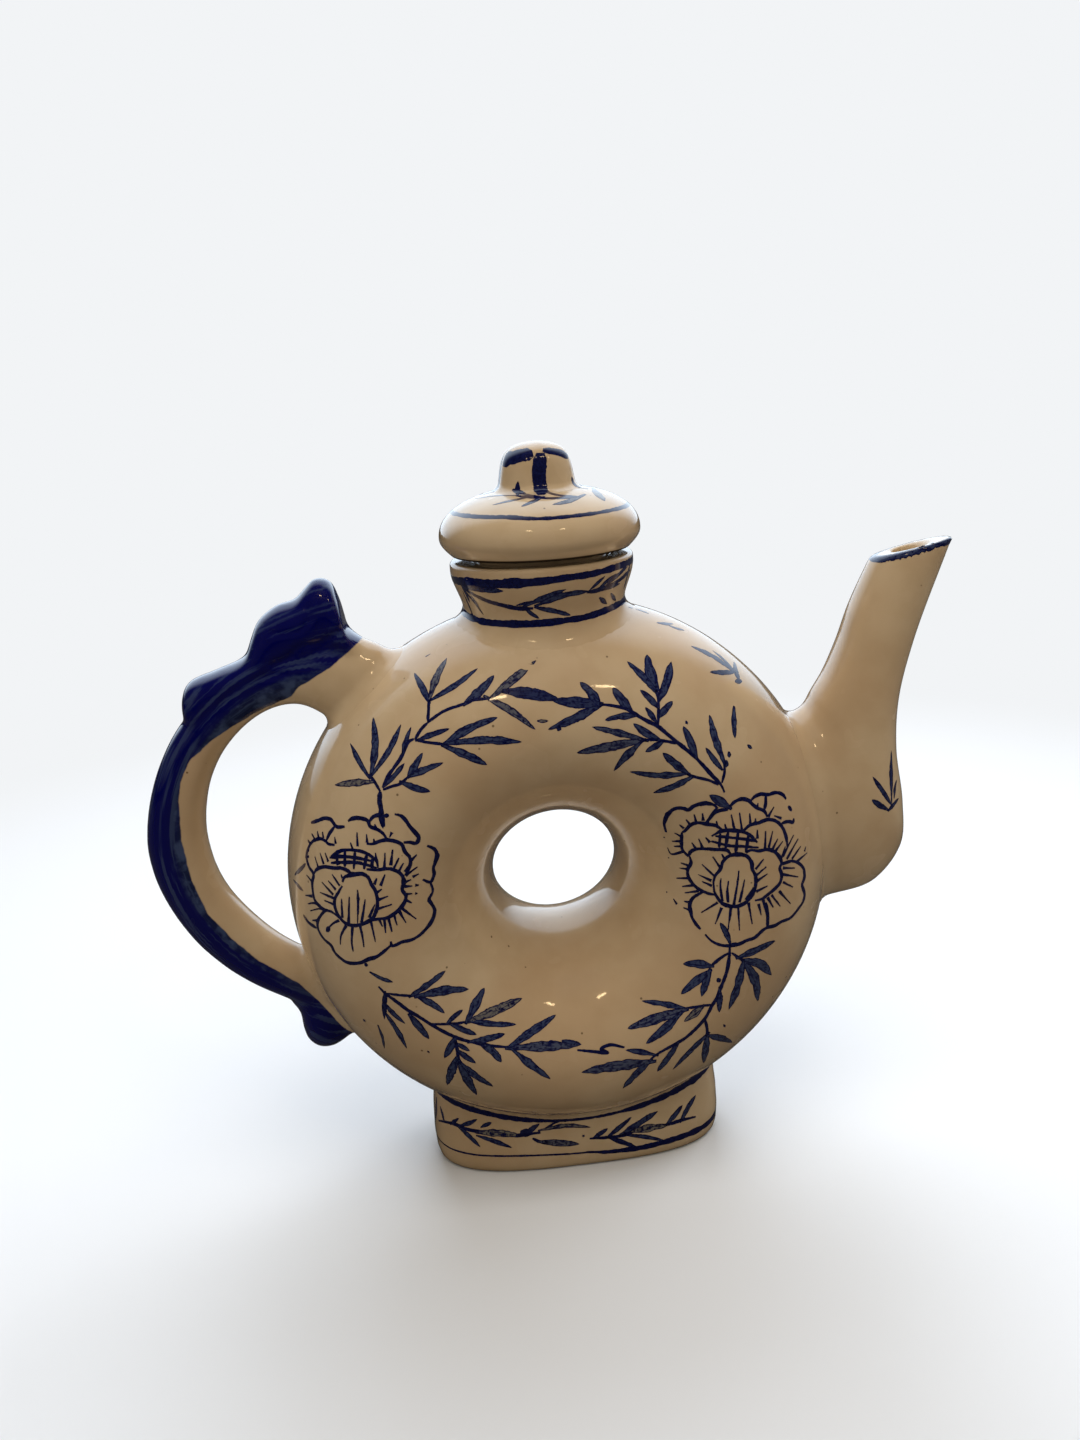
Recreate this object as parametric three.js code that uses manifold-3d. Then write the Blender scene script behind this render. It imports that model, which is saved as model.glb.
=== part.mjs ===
// Ring teapot of glazed blue-and-white stoneware.
// Millimetres, +Z up, front towards -Y. The origin lies on the table under the middle of the foot.
import * as THREE from "three";
import { mergeVertices } from "three/addons/utils/BufferGeometryUtils.js";
import Module from "manifold-3d";

const wasm = await Module();
wasm.setup();

// Joints between the clay pieces
const jointGap = 0.3; // slip joint round a luted piece
const lidGap = 0.3; // dry seat between the lid and the rim of the neck

// Ring body
const ringRadius = 72.5;
const throatRadius = 16.5; // the open middle at its narrowest
const throatDrift = new THREE.Vector3(-1.5, 0, 0.5); // the hand-finished hole sits a little off centre
const bodyDepth = 65.6;
const bodyRoundness = 1.9; // superellipse exponent of the section, 2 is an ellipse
const bodyWall = 4;

// Foot
const footRise = 11.5; // table to the lowest point of the ring
const footLength = 81.6;
const footDepth = 40.4;
const footWall = 5;
const footSquareness = 3; // superellipse exponent of the plan
// height above the table, and how much each side is drawn in there
const footLevels = [
  [0, 1.6],
  [0.8, 0.8],
  [2.6, 0.3],
  [7, 0],
  [13, 0.2],
  [19, 0.8],
  [28, 1.6], // inside the belly, which cuts it
];

// Neck
const neckHeight = 10.7; // rim above the top of the ring
const neckRimRadius = 23;
const neckWaistRadius = 20.3;
const neckBore = 17.2; // radius of the filling hole
const neckRoot = 10; // how far the collar reaches down over the shoulder
const neckWaistDrop = 2; // narrowest point, below the top of the ring
const neckFillet = 1; // how much the collar spreads again under its waist
const neckRimBand = 2.2; // upright stretch under the rim
const rimRounding = 1;

// Lid
const lidRadius = 25.1;
const lidSeatRadius = 22.7;
const lidEdgeHeight = 4.3; // underside to the widest part
const lidDomeRise = 11.6; // widest part to the top of the full dome
const lidDomeSquareness = 2.2;
const lidDomeWidths = [1, 0.985, 0.945, 0.88, 0.79, 0.67, 0.55]; // shares of the radius, edge to top
const lidWall = 4.5;
const flangeClearance = 0.5; // between the flange and the filling hole
const flangeWall = 3;
const flangeDepth = 10;
const knobRadius = 10.3;
const knobHeight = 11.2;
const knobLobes = 4;
const knobGroove = 0.09; // share of the radius that each groove takes
// share of the knob's height, and share of its radius there
const knobLevels = [
  [0, 1],
  [0.14, 0.97],
  [0.3, 0.925],
  [0.55, 0.85],
  [0.72, 0.76],
  [0.84, 0.62],
  [0.93, 0.44],
  [0.98, 0.26],
  [1, 0.1],
];

// Strainer in the wall behind the spout
const strainerHoleRadius = 1.8;
const strainerPitch = 8;
const strainerHoles = 6; // round a middle one
const strainerAngle = 7; // degrees above the level of the ring's centre

// Reaches and depths in the station tables count in this unit of length.
const stationUnit = 1;

// Spout, as stations from the root to the lip
// inner angle, inner reach, outer angle, outer reach, half depth
const spoutStations = [
  [29.5, -7, -16.5, -10, 15],
  [28.7, 2, -12.6, 4.6, 15.5],
  [28.7, 5, -9.2, 15, 15.3],
  [29.3, 6.8, -2.6, 21.6, 14.8],
  [30.2, 8.8, 5, 22.3, 13.8],
  [32.2, 14.6, 14.6, 22.8, 12.4],
  [35.2, 22, 22.2, 27.5, 11],
  [38.5, 30.3, 29.1, 38, 9.7],
  [41.5, 39.4, 36.1, 59.3, 8.5],
];
const spoutWall = 3.4;
const spoutLip = 6.2; // wall at the upper and lower edge of the slanted mouth
const spoutSquareness = 2.1;

// Handle strap, as stations from the upper root to the lower one
// inner angle, inner reach, outer angle, outer reach, half depth
const handleStations = [
  [142, -9, 121, -9, 8.5],
  [141, 0.5, 123.9, 5.2, 8],
  [141.8, 9, 130.6, 15.4, 7.5],
  [146, 15.2, 139.2, 23.6, 7],
  [153.9, 20.1, 149.9, 31.1, 6.8],
  [161.5, 21.6, 159.3, 34.8, 6.6],
  [170, 20.4, 171.5, 35.5, 6.6],
  [178.3, 16.3, 181.5, 30.7, 6.8],
  [187, 8.6, 191.9, 21.9, 7],
  [194, 1.4, 201.5, 11, 7.2],
  [198.5, -5, 207.5, 4, 7.2],
  [203, -10, 213, -6, 7],
];
const handleSquareness = 2.4;

// Crest on the handle, as stations from the thumb rest to its lowest bump
// inner angle, inner reach, outer angle, outer reach, half depth
const crestStations = [
  [127.5, 1, 125, 6, 4],
  [128.8, 4, 125.8, 12, 6],
  [130, 6, 124, 18.5, 6.8],
  [131, 8, 123.3, 23.6, 6.6],
  [132, 9.5, 124.7, 26.3, 6],
  [133.2, 11, 127, 26.1, 6.4],
  [134.6, 12.5, 128.9, 25.8, 6.8],
  [136.6, 14, 131.4, 27.8, 6.6],
  [139, 16, 134.8, 28.6, 6.4],
  [141, 17.5, 137.4, 27.3, 6.6],
  [143.2, 19, 140.2, 26.2, 6.6],
  [146.5, 21.5, 144, 30.1, 6.4],
  [149.5, 24, 147.4, 34.5, 6.2],
  [152, 25.5, 149.9, 34, 6],
  [153.6, 27.5, 152.8, 31.2, 4.4],
];
const ornamentSquareness = 2.2; // of the crest and the scroll

// Scroll that ends the handle, as stations from under the strap to its curled tip
// inner angle, inner reach, outer angle, outer reach, half depth
const scrollStations = [
  [203.3, -5, 203, 10.3, 6.6],
  [205, -5, 206, 10, 6.9],
  [206.8, -5, 208.9, 11.8, 7.3],
  [208.6, -5, 211.4, 12.9, 7.4],
  [210.5, -5, 213.8, 12.1, 7],
  [212, -5.5, 215.5, 9.3, 6],
  [213.4, -6, 216.1, 3, 4.5],
];

// Fineness of the faceting
const ringSteps = 56;
const sectionSteps = 24;
const roundSteps = 40;
const tubeSteps = 16;
const spoutSteps = 20; // round the spout's skin
const spoutRows = 24; // rows along each tube
const boreRows = 16;
const handleRows = 33;
const crestRows = 42;
const scrollRows = 18;
const boreOverrun = 4; // how far the bore's cut runs past the mouth

// Heights worked out from the sizes above
const ringCentreHeight = footRise + ringRadius;
const rimHeight = ringRadius + neckHeight; // above the ring's centre
const lidSeatHeight = ringCentreHeight + rimHeight + lidGap;
const flangeRadius = neckBore - flangeClearance;
const knobSeatHeight = lidEdgeHeight + domeRise(knobRadius); // above the lid's underside

// Materials
function glaze(colour, roughness) {
  return new THREE.MeshStandardMaterial({ color: colour, roughness, metalness: 0 });
}
const ivoryGlaze = () => glaze("#cdbf9f", 0.12);
const cobaltGlaze = () => glaze("#0b1252", 0.12);

// Solids
function toSolid(geometry) {
  const bare = geometry.clone();
  bare.deleteAttribute("normal");
  bare.deleteAttribute("uv");
  const merged = mergeVertices(bare, 1e-4);
  const mesh = new wasm.Mesh({
    numProp: 3,
    vertProperties: merged.attributes.position.array,
    triVerts: new Uint32Array(merged.index.array),
  });
  return new wasm.Manifold(mesh);
}

function toGeometry(solid) {
  const mesh = solid.getMesh();
  const geometry = new THREE.BufferGeometry();
  geometry.setAttribute("position", new THREE.BufferAttribute(mesh.vertProperties, 3));
  geometry.setIndex(new THREE.BufferAttribute(mesh.triVerts, 1));
  geometry.computeVertexNormals();
  return geometry;
}

function box(low, high) {
  const size = high.clone().sub(low);
  const centre = low.clone().add(high).multiplyScalar(0.5);
  const geometry = new THREE.BoxGeometry(size.x, size.y, size.z);
  return toSolid(geometry.translate(centre.x, centre.y, centre.z));
}

// A solid of revolution about the vertical axis, from points of radius and height.
function turned(profile, steps) {
  const points = profile.map(([radius, height]) => new THREE.Vector2(radius, height));
  return toSolid(new THREE.LatheGeometry(points, steps).rotateX(Math.PI / 2));
}

// A closed skin over sections that each have the same number of points.
function loft(sections) {
  const around = sections[0].length;
  const corners = sections.flat();
  const faces = [];
  for (let row = 0; row + 1 < sections.length; row += 1) {
    for (let column = 0; column < around; column += 1) {
      const a = row * around + column;
      const b = row * around + ((column + 1) % around);
      faces.push(a, b, b + around, a, b + around, a + around);
    }
  }
  const lastRow = (sections.length - 1) * around;
  const firstHub = corners.push(middleOf(sections[0])) - 1;
  const lastHub = corners.push(middleOf(sections.at(-1))) - 1;
  for (let column = 0; column < around; column += 1) {
    const next = (column + 1) % around;
    faces.push(firstHub, next, column);
    faces.push(lastHub, lastRow + column, lastRow + next);
  }
  const geometry = new THREE.BufferGeometry().setFromPoints(corners);
  geometry.setIndex(faces);
  return toSolid(geometry);
}

function middleOf(points) {
  const sum = points.reduce((total, point) => total.add(point), new THREE.Vector3());
  return sum.divideScalar(points.length);
}

// One corner of a superellipse with half sizes of 1.
function oval(turn, squareness) {
  const angle = turn * Math.PI * 2;
  const power = 2 / squareness;
  const soften = (value) => Math.sign(value) * Math.abs(value) ** power;
  return new THREE.Vector2(soften(Math.cos(angle)), soften(Math.sin(angle)));
}

// A point in the ring's plane, by its angle about the centre and its reach beyond the ring's edge.
function beyondRing(angle, reach) {
  const radians = THREE.MathUtils.degToRad(angle);
  const distance = ringRadius + reach * stationUnit;
  return new THREE.Vector3(distance * Math.cos(radians), 0, distance * Math.sin(radians));
}

// A tube that follows stations, thinner by sideWall across its depth and by an end wall across its width.
function tube(stations, squareness, along, around, sideWall, endWall, overrun) {
  const inner = new THREE.CatmullRomCurve3(stations.map((row) => beyondRing(row[0], row[1])));
  const outer = new THREE.CatmullRomCurve3(stations.map((row) => beyondRing(row[2], row[3])));
  const depth = new THREE.SplineCurve(stations.map((row, index) => new THREE.Vector2(index, row[4])));
  const sections = [];
  for (let step = 0; step <= along; step += 1) {
    const share = step / along;
    const low = inner.getPoint(share);
    const high = outer.getPoint(share);
    const centre = low.clone().add(high).multiplyScalar(0.5);
    const across = high.sub(low).multiplyScalar(0.5);
    across.setLength(across.length() - endWall(share));
    const halfDepth = depth.getPoint(share).y * stationUnit - sideWall;
    sections.push(ring(centre, across, halfDepth, squareness, around));
  }
  if (overrun > 0) {
    sections.unshift(pushedOn(sections[0], sections[1], overrun));
    sections.push(pushedOn(sections.at(-1), sections.at(-2), overrun));
  }
  return loft(sections);
}

function ring(centre, across, halfDepth, squareness, around) {
  const points = [];
  for (let step = 0; step < around; step += 1) {
    const corner = oval(step / around, squareness);
    const point = centre.clone().addScaledVector(across, corner.x);
    point.y += corner.y * halfDepth;
    points.push(point);
  }
  return points;
}

// A copy of an end section, moved on by a distance away from its neighbour.
function pushedOn(end, neighbour, distance) {
  const way = middleOf(end).sub(middleOf(neighbour)).setLength(distance);
  return end.map((point) => point.clone().add(way));
}

// The ring body as one solid, with its skin moved out by grow.
function ringBlank(grow, steps, stepsAround) {
  const middle = (ringRadius + throatRadius) / 2;
  const halfThickness = (ringRadius - throatRadius) / 2 + grow;
  const halfDepth = bodyDepth / 2 + grow;
  const profile = [];
  for (let step = 0; step <= stepsAround; step += 1) {
    const corner = oval((step % stepsAround) / stepsAround, bodyRoundness);
    profile.push(new THREE.Vector2(middle + corner.x * halfThickness, corner.y * halfDepth));
  }
  const geometry = new THREE.LatheGeometry(profile, steps);
  drift(geometry.attributes.position);
  return toSolid(geometry);
}

// Moves the skin near the throat off centre, and leaves the outer edge in place.
function drift(position) {
  const point = new THREE.Vector3();
  for (let index = 0; index < position.count; index += 1) {
    point.fromBufferAttribute(position, index);
    const radius = Math.hypot(point.x, point.z);
    const share = THREE.MathUtils.clamp((ringRadius - radius) / (ringRadius - throatRadius), 0, 1);
    point.addScaledVector(throatDrift, share);
    position.setXYZ(index, point.x, point.y, point.z);
  }
}

function fillingHole() {
  const profile = [
    [0, 0],
    [neckBore, 0],
    [neckBore, rimHeight],
    [0, rimHeight],
  ];
  const solid = turned(profile, roundSteps);
  return solid.translate([0, 0, (ringRadius + throatRadius) / 2]);
}

function strainerCut() {
  const centre = beyondRing(strainerAngle, 0);
  const length = bodyWall * 6; // well through the curved wall
  const spots = [[0, 0]];
  for (let hole = 0; hole < strainerHoles; hole += 1) {
    const angle = ((hole + 0.5) / strainerHoles) * Math.PI * 2;
    spots.push([Math.cos(angle) * strainerPitch, Math.sin(angle) * strainerPitch]);
  }
  const cuts = spots.map(([across, up]) => {
    const hole = new THREE.CylinderGeometry(strainerHoleRadius, strainerHoleRadius, length, 12);
    hole.rotateZ(Math.PI / 2);
    return toSolid(hole.translate(centre.x, across, centre.z + up));
  });
  return cuts.reduce((joined, cut) => joined.add(cut));
}

function ringShell() {
  const skin = ringBlank(0, ringSteps, sectionSteps);
  const chamber = ringBlank(-bodyWall, roundSteps, tubeSteps);
  return skin.subtract(chamber).subtract(fillingHole()).subtract(strainerCut());
}

// The front or back half of the shell, which meet in the plane of the ring.
function ringHalf(shell, side) {
  const reach = ringRadius * 2;
  const low = new THREE.Vector3(-reach, side < 0 ? -bodyDepth : 0, -reach);
  const high = new THREE.Vector3(reach, side < 0 ? 0 : bodyDepth, reach);
  return shell.intersect(box(low, high));
}

// Foot: an oval skirt that swells to its full size a third of the way up.
function footSkirt(belly) {
  const skirt = (inset, reachDown) =>
    footLevels.map(([height, narrower], index) => {
      const level = index === 0 ? height - reachDown : height;
      const centre = new THREE.Vector3(0, 0, level - ringCentreHeight);
      const across = new THREE.Vector3(footLength / 2 - narrower - inset, 0, 0);
      return ring(centre, across, footDepth / 2 - narrower - inset, footSquareness, roundSteps);
    });
  const hollow = skirt(footWall, 1);
  hollow.push(pushedOn(hollow.at(-1), hollow.at(-2), 1));
  return loft(skirt(0, 0)).subtract(loft(hollow)).subtract(belly);
}

// Neck: a waisted collar with a rolled rim.
function neckCollar(belly) {
  const bandHeight = neckHeight - neckRimBand;
  const steps = 7;
  const profile = [
    [neckBore, -neckRoot],
    [neckWaistRadius + neckFillet, -neckRoot],
    [neckWaistRadius + neckFillet * 0.3, -(neckRoot + neckWaistDrop) / 2],
  ];
  for (let step = 0; step <= steps; step += 1) {
    const share = step / steps;
    const swell = THREE.MathUtils.smoothstep(share, 0, 1) * (neckRimRadius - neckWaistRadius);
    profile.push([neckWaistRadius + swell, THREE.MathUtils.lerp(-neckWaistDrop, bandHeight, share)]);
  }
  profile.push([neckRimRadius, neckHeight - rimRounding]);
  profile.push([neckRimRadius - rimRounding, neckHeight]);
  profile.push([neckBore + rimRounding / 2, neckHeight]);
  profile.push([neckBore, neckHeight - rimRounding / 2]);
  profile.push([neckBore, -neckRoot]);
  return turned(profile, roundSteps).translate([0, 0, ringRadius]).subtract(belly);
}

function spoutPipe(belly) {
  const skin = tube(spoutStations, spoutSquareness, spoutRows, spoutSteps, 0, () => 0, 0);
  const endWall = (share) => THREE.MathUtils.lerp(spoutWall, spoutLip, share);
  const bore = tube(spoutStations, 2, boreRows, tubeSteps, spoutWall, endWall, boreOverrun);
  return skin.subtract(bore).subtract(belly);
}

function handleBlank(grow) {
  return tube(handleStations, handleSquareness, handleRows, tubeSteps, -grow, () => -grow, 0);
}

function handleCrest(strap) {
  return tube(crestStations, ornamentSquareness, crestRows, tubeSteps, 0, () => 0, 0).subtract(strap);
}

function handleScroll(strap, belly) {
  const blank = tube(scrollStations, ornamentSquareness, scrollRows, tubeSteps, 0, () => 0, 0);
  return blank.subtract(strap).subtract(belly);
}

// How far the lid's dome stands above its widest part, at a radius.
function domeRise(radius) {
  const share = 1 - (radius / lidRadius) ** lidDomeSquareness;
  return lidDomeRise * share ** (1 / lidDomeSquareness);
}

// Lid: a domed cap with a fat rounded edge, open below.
function lidCap() {
  const hollowRadius = flangeRadius - flangeWall;
  const ceiling = knobSeatHeight - lidWall;
  const profile = [
    [hollowRadius, 0],
    [lidSeatRadius, 0],
    [lidRadius - 1, lidEdgeHeight * 0.4],
    [lidRadius - 0.25, lidEdgeHeight * 0.7],
  ];
  for (const width of lidDomeWidths) {
    profile.push([lidRadius * width, lidEdgeHeight + domeRise(lidRadius * width)]);
  }
  profile.push([knobRadius, knobSeatHeight]);
  profile.push([0, knobSeatHeight]);
  profile.push([0, ceiling]);
  profile.push([hollowRadius * 0.7, ceiling - 0.8]);
  profile.push([hollowRadius, ceiling * 0.6]);
  profile.push([hollowRadius, 0]);
  return turned(profile, roundSteps);
}

function lidFlange() {
  const profile = [
    [flangeRadius - flangeWall, 0],
    [flangeRadius - flangeWall, -flangeDepth],
    [flangeRadius - rimRounding, -flangeDepth],
    [flangeRadius, rimRounding - flangeDepth],
    [flangeRadius, 0],
    [flangeRadius - flangeWall, 0],
  ];
  return turned(profile, roundSteps);
}

// Knob: a stubby bud with upright grooves that run in over its top.
function lidKnob() {
  const around = roundSteps;
  const sections = knobLevels.map(([height, width]) => {
    const points = [];
    for (let step = 0; step < around; step += 1) {
      const angle = (step / around) * Math.PI * 2;
      const nearGroove = Math.abs(Math.cos((angle * knobLobes) / 2)) ** 10;
      const radius = knobRadius * width * (1 - knobGroove * nearGroove);
      points.push(new THREE.Vector3(radius * Math.cos(angle), radius * Math.sin(angle), height * knobHeight));
    }
    return points;
  });
  return loft(sections).translate([0, 0, knobSeatHeight]);
}

// Assembly
function piece(name, solid, material) {
  const mesh = new THREE.Mesh(toGeometry(solid), material);
  mesh.name = name;
  return mesh;
}

function potGroup() {
  const belly = ringBlank(jointGap, ringSteps, sectionSteps);
  const shell = ringShell();
  const strap = handleBlank(0).subtract(belly);
  const roundStrap = handleBlank(jointGap);
  const group = new THREE.Group();
  group.position.z = ringCentreHeight;
  group.add(piece("ring_front_half", ringHalf(shell, -1), ivoryGlaze()));
  group.add(piece("ring_back_half", ringHalf(shell, 1), ivoryGlaze()));
  group.add(piece("foot_skirt", footSkirt(belly), ivoryGlaze()));
  group.add(piece("neck_collar", neckCollar(belly), ivoryGlaze()));
  group.add(piece("spout", spoutPipe(belly), ivoryGlaze()));
  group.add(piece("handle_strap", strap, cobaltGlaze()));
  group.add(piece("handle_crest", handleCrest(roundStrap), cobaltGlaze()));
  group.add(piece("handle_scroll", handleScroll(roundStrap, belly), cobaltGlaze()));
  return group;
}

function lidGroup() {
  const group = new THREE.Group();
  group.position.z = lidSeatHeight;
  group.add(piece("lid_cap", lidCap(), ivoryGlaze()));
  group.add(piece("lid_flange", lidFlange(), ivoryGlaze()));
  group.add(piece("lid_knob", lidKnob(), ivoryGlaze()));
  return group;
}

const teapot = new THREE.Group();
teapot.add(potGroup());
teapot.add(lidGroup());

export default teapot;
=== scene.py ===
import math

import bmesh
import bpy
from mathutils import Matrix, Vector, kdtree, noise
from mathutils.bvhtree import BVHTree


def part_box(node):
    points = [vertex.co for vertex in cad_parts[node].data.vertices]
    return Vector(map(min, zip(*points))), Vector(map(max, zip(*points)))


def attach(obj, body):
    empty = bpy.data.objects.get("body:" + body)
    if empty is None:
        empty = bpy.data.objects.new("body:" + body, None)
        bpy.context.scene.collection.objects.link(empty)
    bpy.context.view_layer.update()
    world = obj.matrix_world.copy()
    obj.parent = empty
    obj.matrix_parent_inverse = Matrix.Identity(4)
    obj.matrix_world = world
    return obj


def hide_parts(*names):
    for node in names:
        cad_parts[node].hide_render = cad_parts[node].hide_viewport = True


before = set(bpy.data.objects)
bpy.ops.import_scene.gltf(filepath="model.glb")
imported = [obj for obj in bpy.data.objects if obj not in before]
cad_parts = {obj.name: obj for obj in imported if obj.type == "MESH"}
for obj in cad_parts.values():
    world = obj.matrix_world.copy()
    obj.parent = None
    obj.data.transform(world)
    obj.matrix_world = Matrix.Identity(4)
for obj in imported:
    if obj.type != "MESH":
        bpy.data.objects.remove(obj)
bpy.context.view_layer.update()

MM = 0.001
UP = Vector((0, 0, 1))
BACK = Vector((0, 1, 0))

# Camera, as the photograph was taken
CAMERA_PLACE = (-0.0272, -0.2818, 0.2069)
CAMERA_TURN = 0.086  # radians to the right of straight on
CAMERA_DIP = 0.288  # radians below level
CAMERA_ROLL = 0.065  # radians that the picture leans over
PICTURE = (1080, 1440)  # pixels
FOCAL_PIXELS = 1130.66
SENSOR = 36  # mm along the picture's long side

# Ring body
RING_RADIUS = 72.5
THROAT_RADIUS = 16.5
THROAT_DRIFT = Vector((-1.5, 0, 0.5))  # the hand-finished hole sits a little off centre
BODY_DEPTH = 65.6
BODY_ROUNDNESS = 1.9
BODY_WALL = 4
RING_CENTRE = (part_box("ring_front_half")[0].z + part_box("ring_front_half")[1].z) / 2 / MM
RING_INSET = 0.06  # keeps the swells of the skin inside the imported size
RING_SWELLS = (0.22, 26)  # depth and reach of what the hand pressed in
FILLING_HOLE_DEPTH = 40  # of the cutter that opens the ring under the neck

# Foot
FOOT_LENGTH = 81.6
FOOT_DEPTH = 40.4
FOOT_WALL = 5
FOOT_SQUARENESS = 3
FOOT_CHAMFER = (0.9, 0.4, 0.25)  # inside its rim: breadth at the table, breadth above and rise
FOOT_HOLLOW_START = 0.6  # height at which its wall stands at its full breadth inside
# height above the table, and how much each side is drawn in there
FOOT_LEVELS = [(0, 1.8), (0.35, 1.15), (1.0, 0.75), (2.6, 0.35), (7, 0.1), (13, 0.3), (19, 0.9), (27, 1.7)]
# Heights of the rows of its skin: close at the rim, then even up to where it meets the belly
FOOT_ROWS = [0, 0.15, 0.35, 0.65, 1.0, 1.6, 2.6, 4, 5.5, 7, 9, 11] + [12 + step * 0.4 for step in range(39)]

# Neck, with heights from the top of the ring
NECK_HEIGHT = 10.7
NECK_RIM_RADIUS = 22.95
NECK_WAIST_RADIUS = 20.3
NECK_BORE = 17.2
NECK_WAIST_DROP = 2
NECK_ROOT = 8
NECK_LIP = 2.2  # from its top down to where it stops widening
RIM_ROUND = 1.1
BORE_ROUND = 0.8
BORE_DROPS = (4, 8, 12, 15.5, NECK_HEIGHT + NECK_ROOT)  # rows down its bore, from the rim

# Lid, with heights from its underside
LID_RADIUS = 25.05
LID_SEAT_RADIUS = 22.7
LID_SEAT_MARGIN = 1.2  # from the edge of its flat seat out to its radius
LID_SEAT_ROUND = 0.9
LID_SEAT_RISE = 0.5  # height at which its side starts to swell
LID_EDGE_HEIGHT = 4.3
LID_DOME_RISE = 11.55
LID_DOME_SQUARENESS = 2.2
LID_DOME_SWEEP = 78  # degrees of the dome before its flat middle
LID_WALL = 4.5
LID_CEILING = [(0, 0), (6, 0.2), (10.5, 1.3)]  # inside it: reach from the axis, and drop from the middle
LID_HOLLOW_EDGE = 7.5  # height of the lowest edge of that ceiling
LID_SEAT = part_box("lid_cap")[0].z / MM
FLANGE_RADIUS = 16.7
FLANGE_WALL = 3
FLANGE_DEPTH = 10
FLANGE_ROUND = 1
FLANGE_OVERLAP = 0.3  # how far it reaches into the cap
FLANGE_ROW = -4  # height of the one row in its straight wall
FLANGE_MARGIN = 0.1  # by how much the hollow of the cap is narrower
KNOB_RADIUS = 10.2
KNOB_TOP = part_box("lid_knob")[1].z / MM
KNOB_LOBES = 4
KNOB_GROOVE = 0.1  # share of the radius that each groove takes
KNOB_GROOVE_SHARPNESS = 10
# share of the knob's height, and share of its radius there
KNOB_LEVELS = [
    (-0.1, 1.0), (0, 0.99), (0.14, 0.965), (0.3, 0.93), (0.45, 0.9), (0.6, 0.86), (0.72, 0.805),
    (0.82, 0.715), (0.89, 0.6), (0.94, 0.46), (0.975, 0.3), (0.995, 0.14), (1.0, 0.04),
]

# Spout and handle as stations: inner angle, inner reach, outer angle, outer reach, half depth.
# Angles are degrees about the ring's centre, and reaches are beyond the ring's edge.
SPOUT_STATIONS = [
    (29.5, -7, -16.5, -10, 15),
    (28.7, 2, -12.6, 4.6, 15.5),
    (28.7, 5, -9.2, 15, 15.3),
    (29.3, 6.8, -2.6, 21.6, 14.8),
    (30.2, 8.8, 5, 22.3, 13.8),
    (32.2, 14.6, 14.6, 22.8, 12.4),
    (35.2, 22, 22.2, 27.5, 11),
    (38.5, 30.3, 29.1, 38, 9.7),
    (41.5, 42.1, 37, 60.7, 7.8),
]
SPOUT_SQUARENESS = 2.1
SPOUT_WALL = 3.4
SPOUT_LIP = 6.2
SPOUT_TILT = 0.9  # mm that the mouth is higher on the near side, and lower on the far one
# How the lip rolls over: share of the way from the outer skin to the bore, and rise along the spout
SPOUT_ROLL = [
    (0, -1.0), (0.04, -0.45), (0.14, -0.12), (0.3, 0), (0.6, 0), (0.82, -0.15), (0.95, -0.6), (1, -1.4),
]
HANDLE_STATIONS = [
    (142, -9, 121, -9, 8.5),
    (141, 0.5, 123.9, 5.2, 8),
    (141.8, 9, 130.6, 15.4, 7.5),
    (146, 15.2, 139.2, 23.6, 7),
    (153.9, 20.1, 149.9, 31.1, 6.8),
    (161.5, 21.6, 159.3, 34.8, 6.6),
    (170, 20.4, 171.5, 35.5, 6.6),
    (178.3, 16.3, 181.5, 30.7, 6.8),
    (187, 8.6, 191.9, 21.9, 7),
    (194, 1.4, 201.5, 11, 7.2),
    (198.5, -5, 207.5, 4, 7.2),
    (203, -10, 213, -6, 7),
]
HANDLE_SQUARENESS = 2.4
CREST_STATIONS = [
    (127.5, 1, 125, 6, 4),
    (128.8, 4, 125.8, 12, 6),
    (130, 6, 124, 18.5, 6.8),
    (131, 8, 123.3, 23.6, 6.6),
    (132, 9.5, 124.7, 26.3, 6),
    (133.2, 11, 127, 26.1, 6.4),
    (134.6, 12.5, 128.9, 25.8, 6.8),
    (136.6, 14, 131.4, 27.8, 6.6),
    (139, 16, 134.8, 28.6, 6.4),
    (141, 17.5, 137.4, 27.3, 6.6),
    (143.2, 19, 140.2, 26.2, 6.6),
    (146.5, 21.5, 144, 30.1, 6.4),
    (149.5, 24, 147.4, 34.5, 6.2),
    (152, 25.5, 149.9, 34, 6),
    (153.6, 27.5, 152.8, 31.2, 4.4),
]
SCROLL_STATIONS = [
    (203.3, -5, 203, 10.3, 6.6),
    (205, -5, 206, 10, 6.9),
    (206.8, -5, 208.9, 11.8, 7.3),
    (208.6, -5, 211.4, 12.9, 7.4),
    (210.5, -5, 213.8, 12.1, 7),
    (212, -5.5, 215.5, 9.3, 6),
    (213.4, -6, 216.1, 3, 4.5),
]
ORNAMENT_SQUARENESS = 2.2
HANDLE_VOXEL = 0.75
CREST_GROW = 0.6  # what smoothing the joined handle takes off its humps again
HANDLE_SWELLS = (0.2, 9)  # as RING_SWELLS

# Fillets where the clay pieces are luted to the ring
NECK_FILLET = 3.2
SPOUT_FILLET = 3.6
HANDLE_FILLET = 3.2
FOOT_FILLET = 1.6
KNOB_FILLET = 1.6
LUTED_DEPTH = 3  # how deep a luted piece reaches under the skin that carries it
LUTED_LEAST = 0.15  # how deep its edge goes in at the least

# Glaze colours
IVORY_CREAM = "#c6b293"
IVORY_TAN = "#bba383"
IVORY_SHADE = "#ab9270"
IRON_SPECK = "#4b3a28"
# bare clay of the lid's seat, made this dark as painted shade for the shadowed seam between lid and neck
SEAT_CLAY_SHADED = "#2e2418"
SEAT_BAND = (0.5, 0.8)  # mm over and under the lid's seat, between which the bare clay and its painted shade fade
SEAT_REACH = (24, 24.5)  # mm from the axis, likewise

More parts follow.
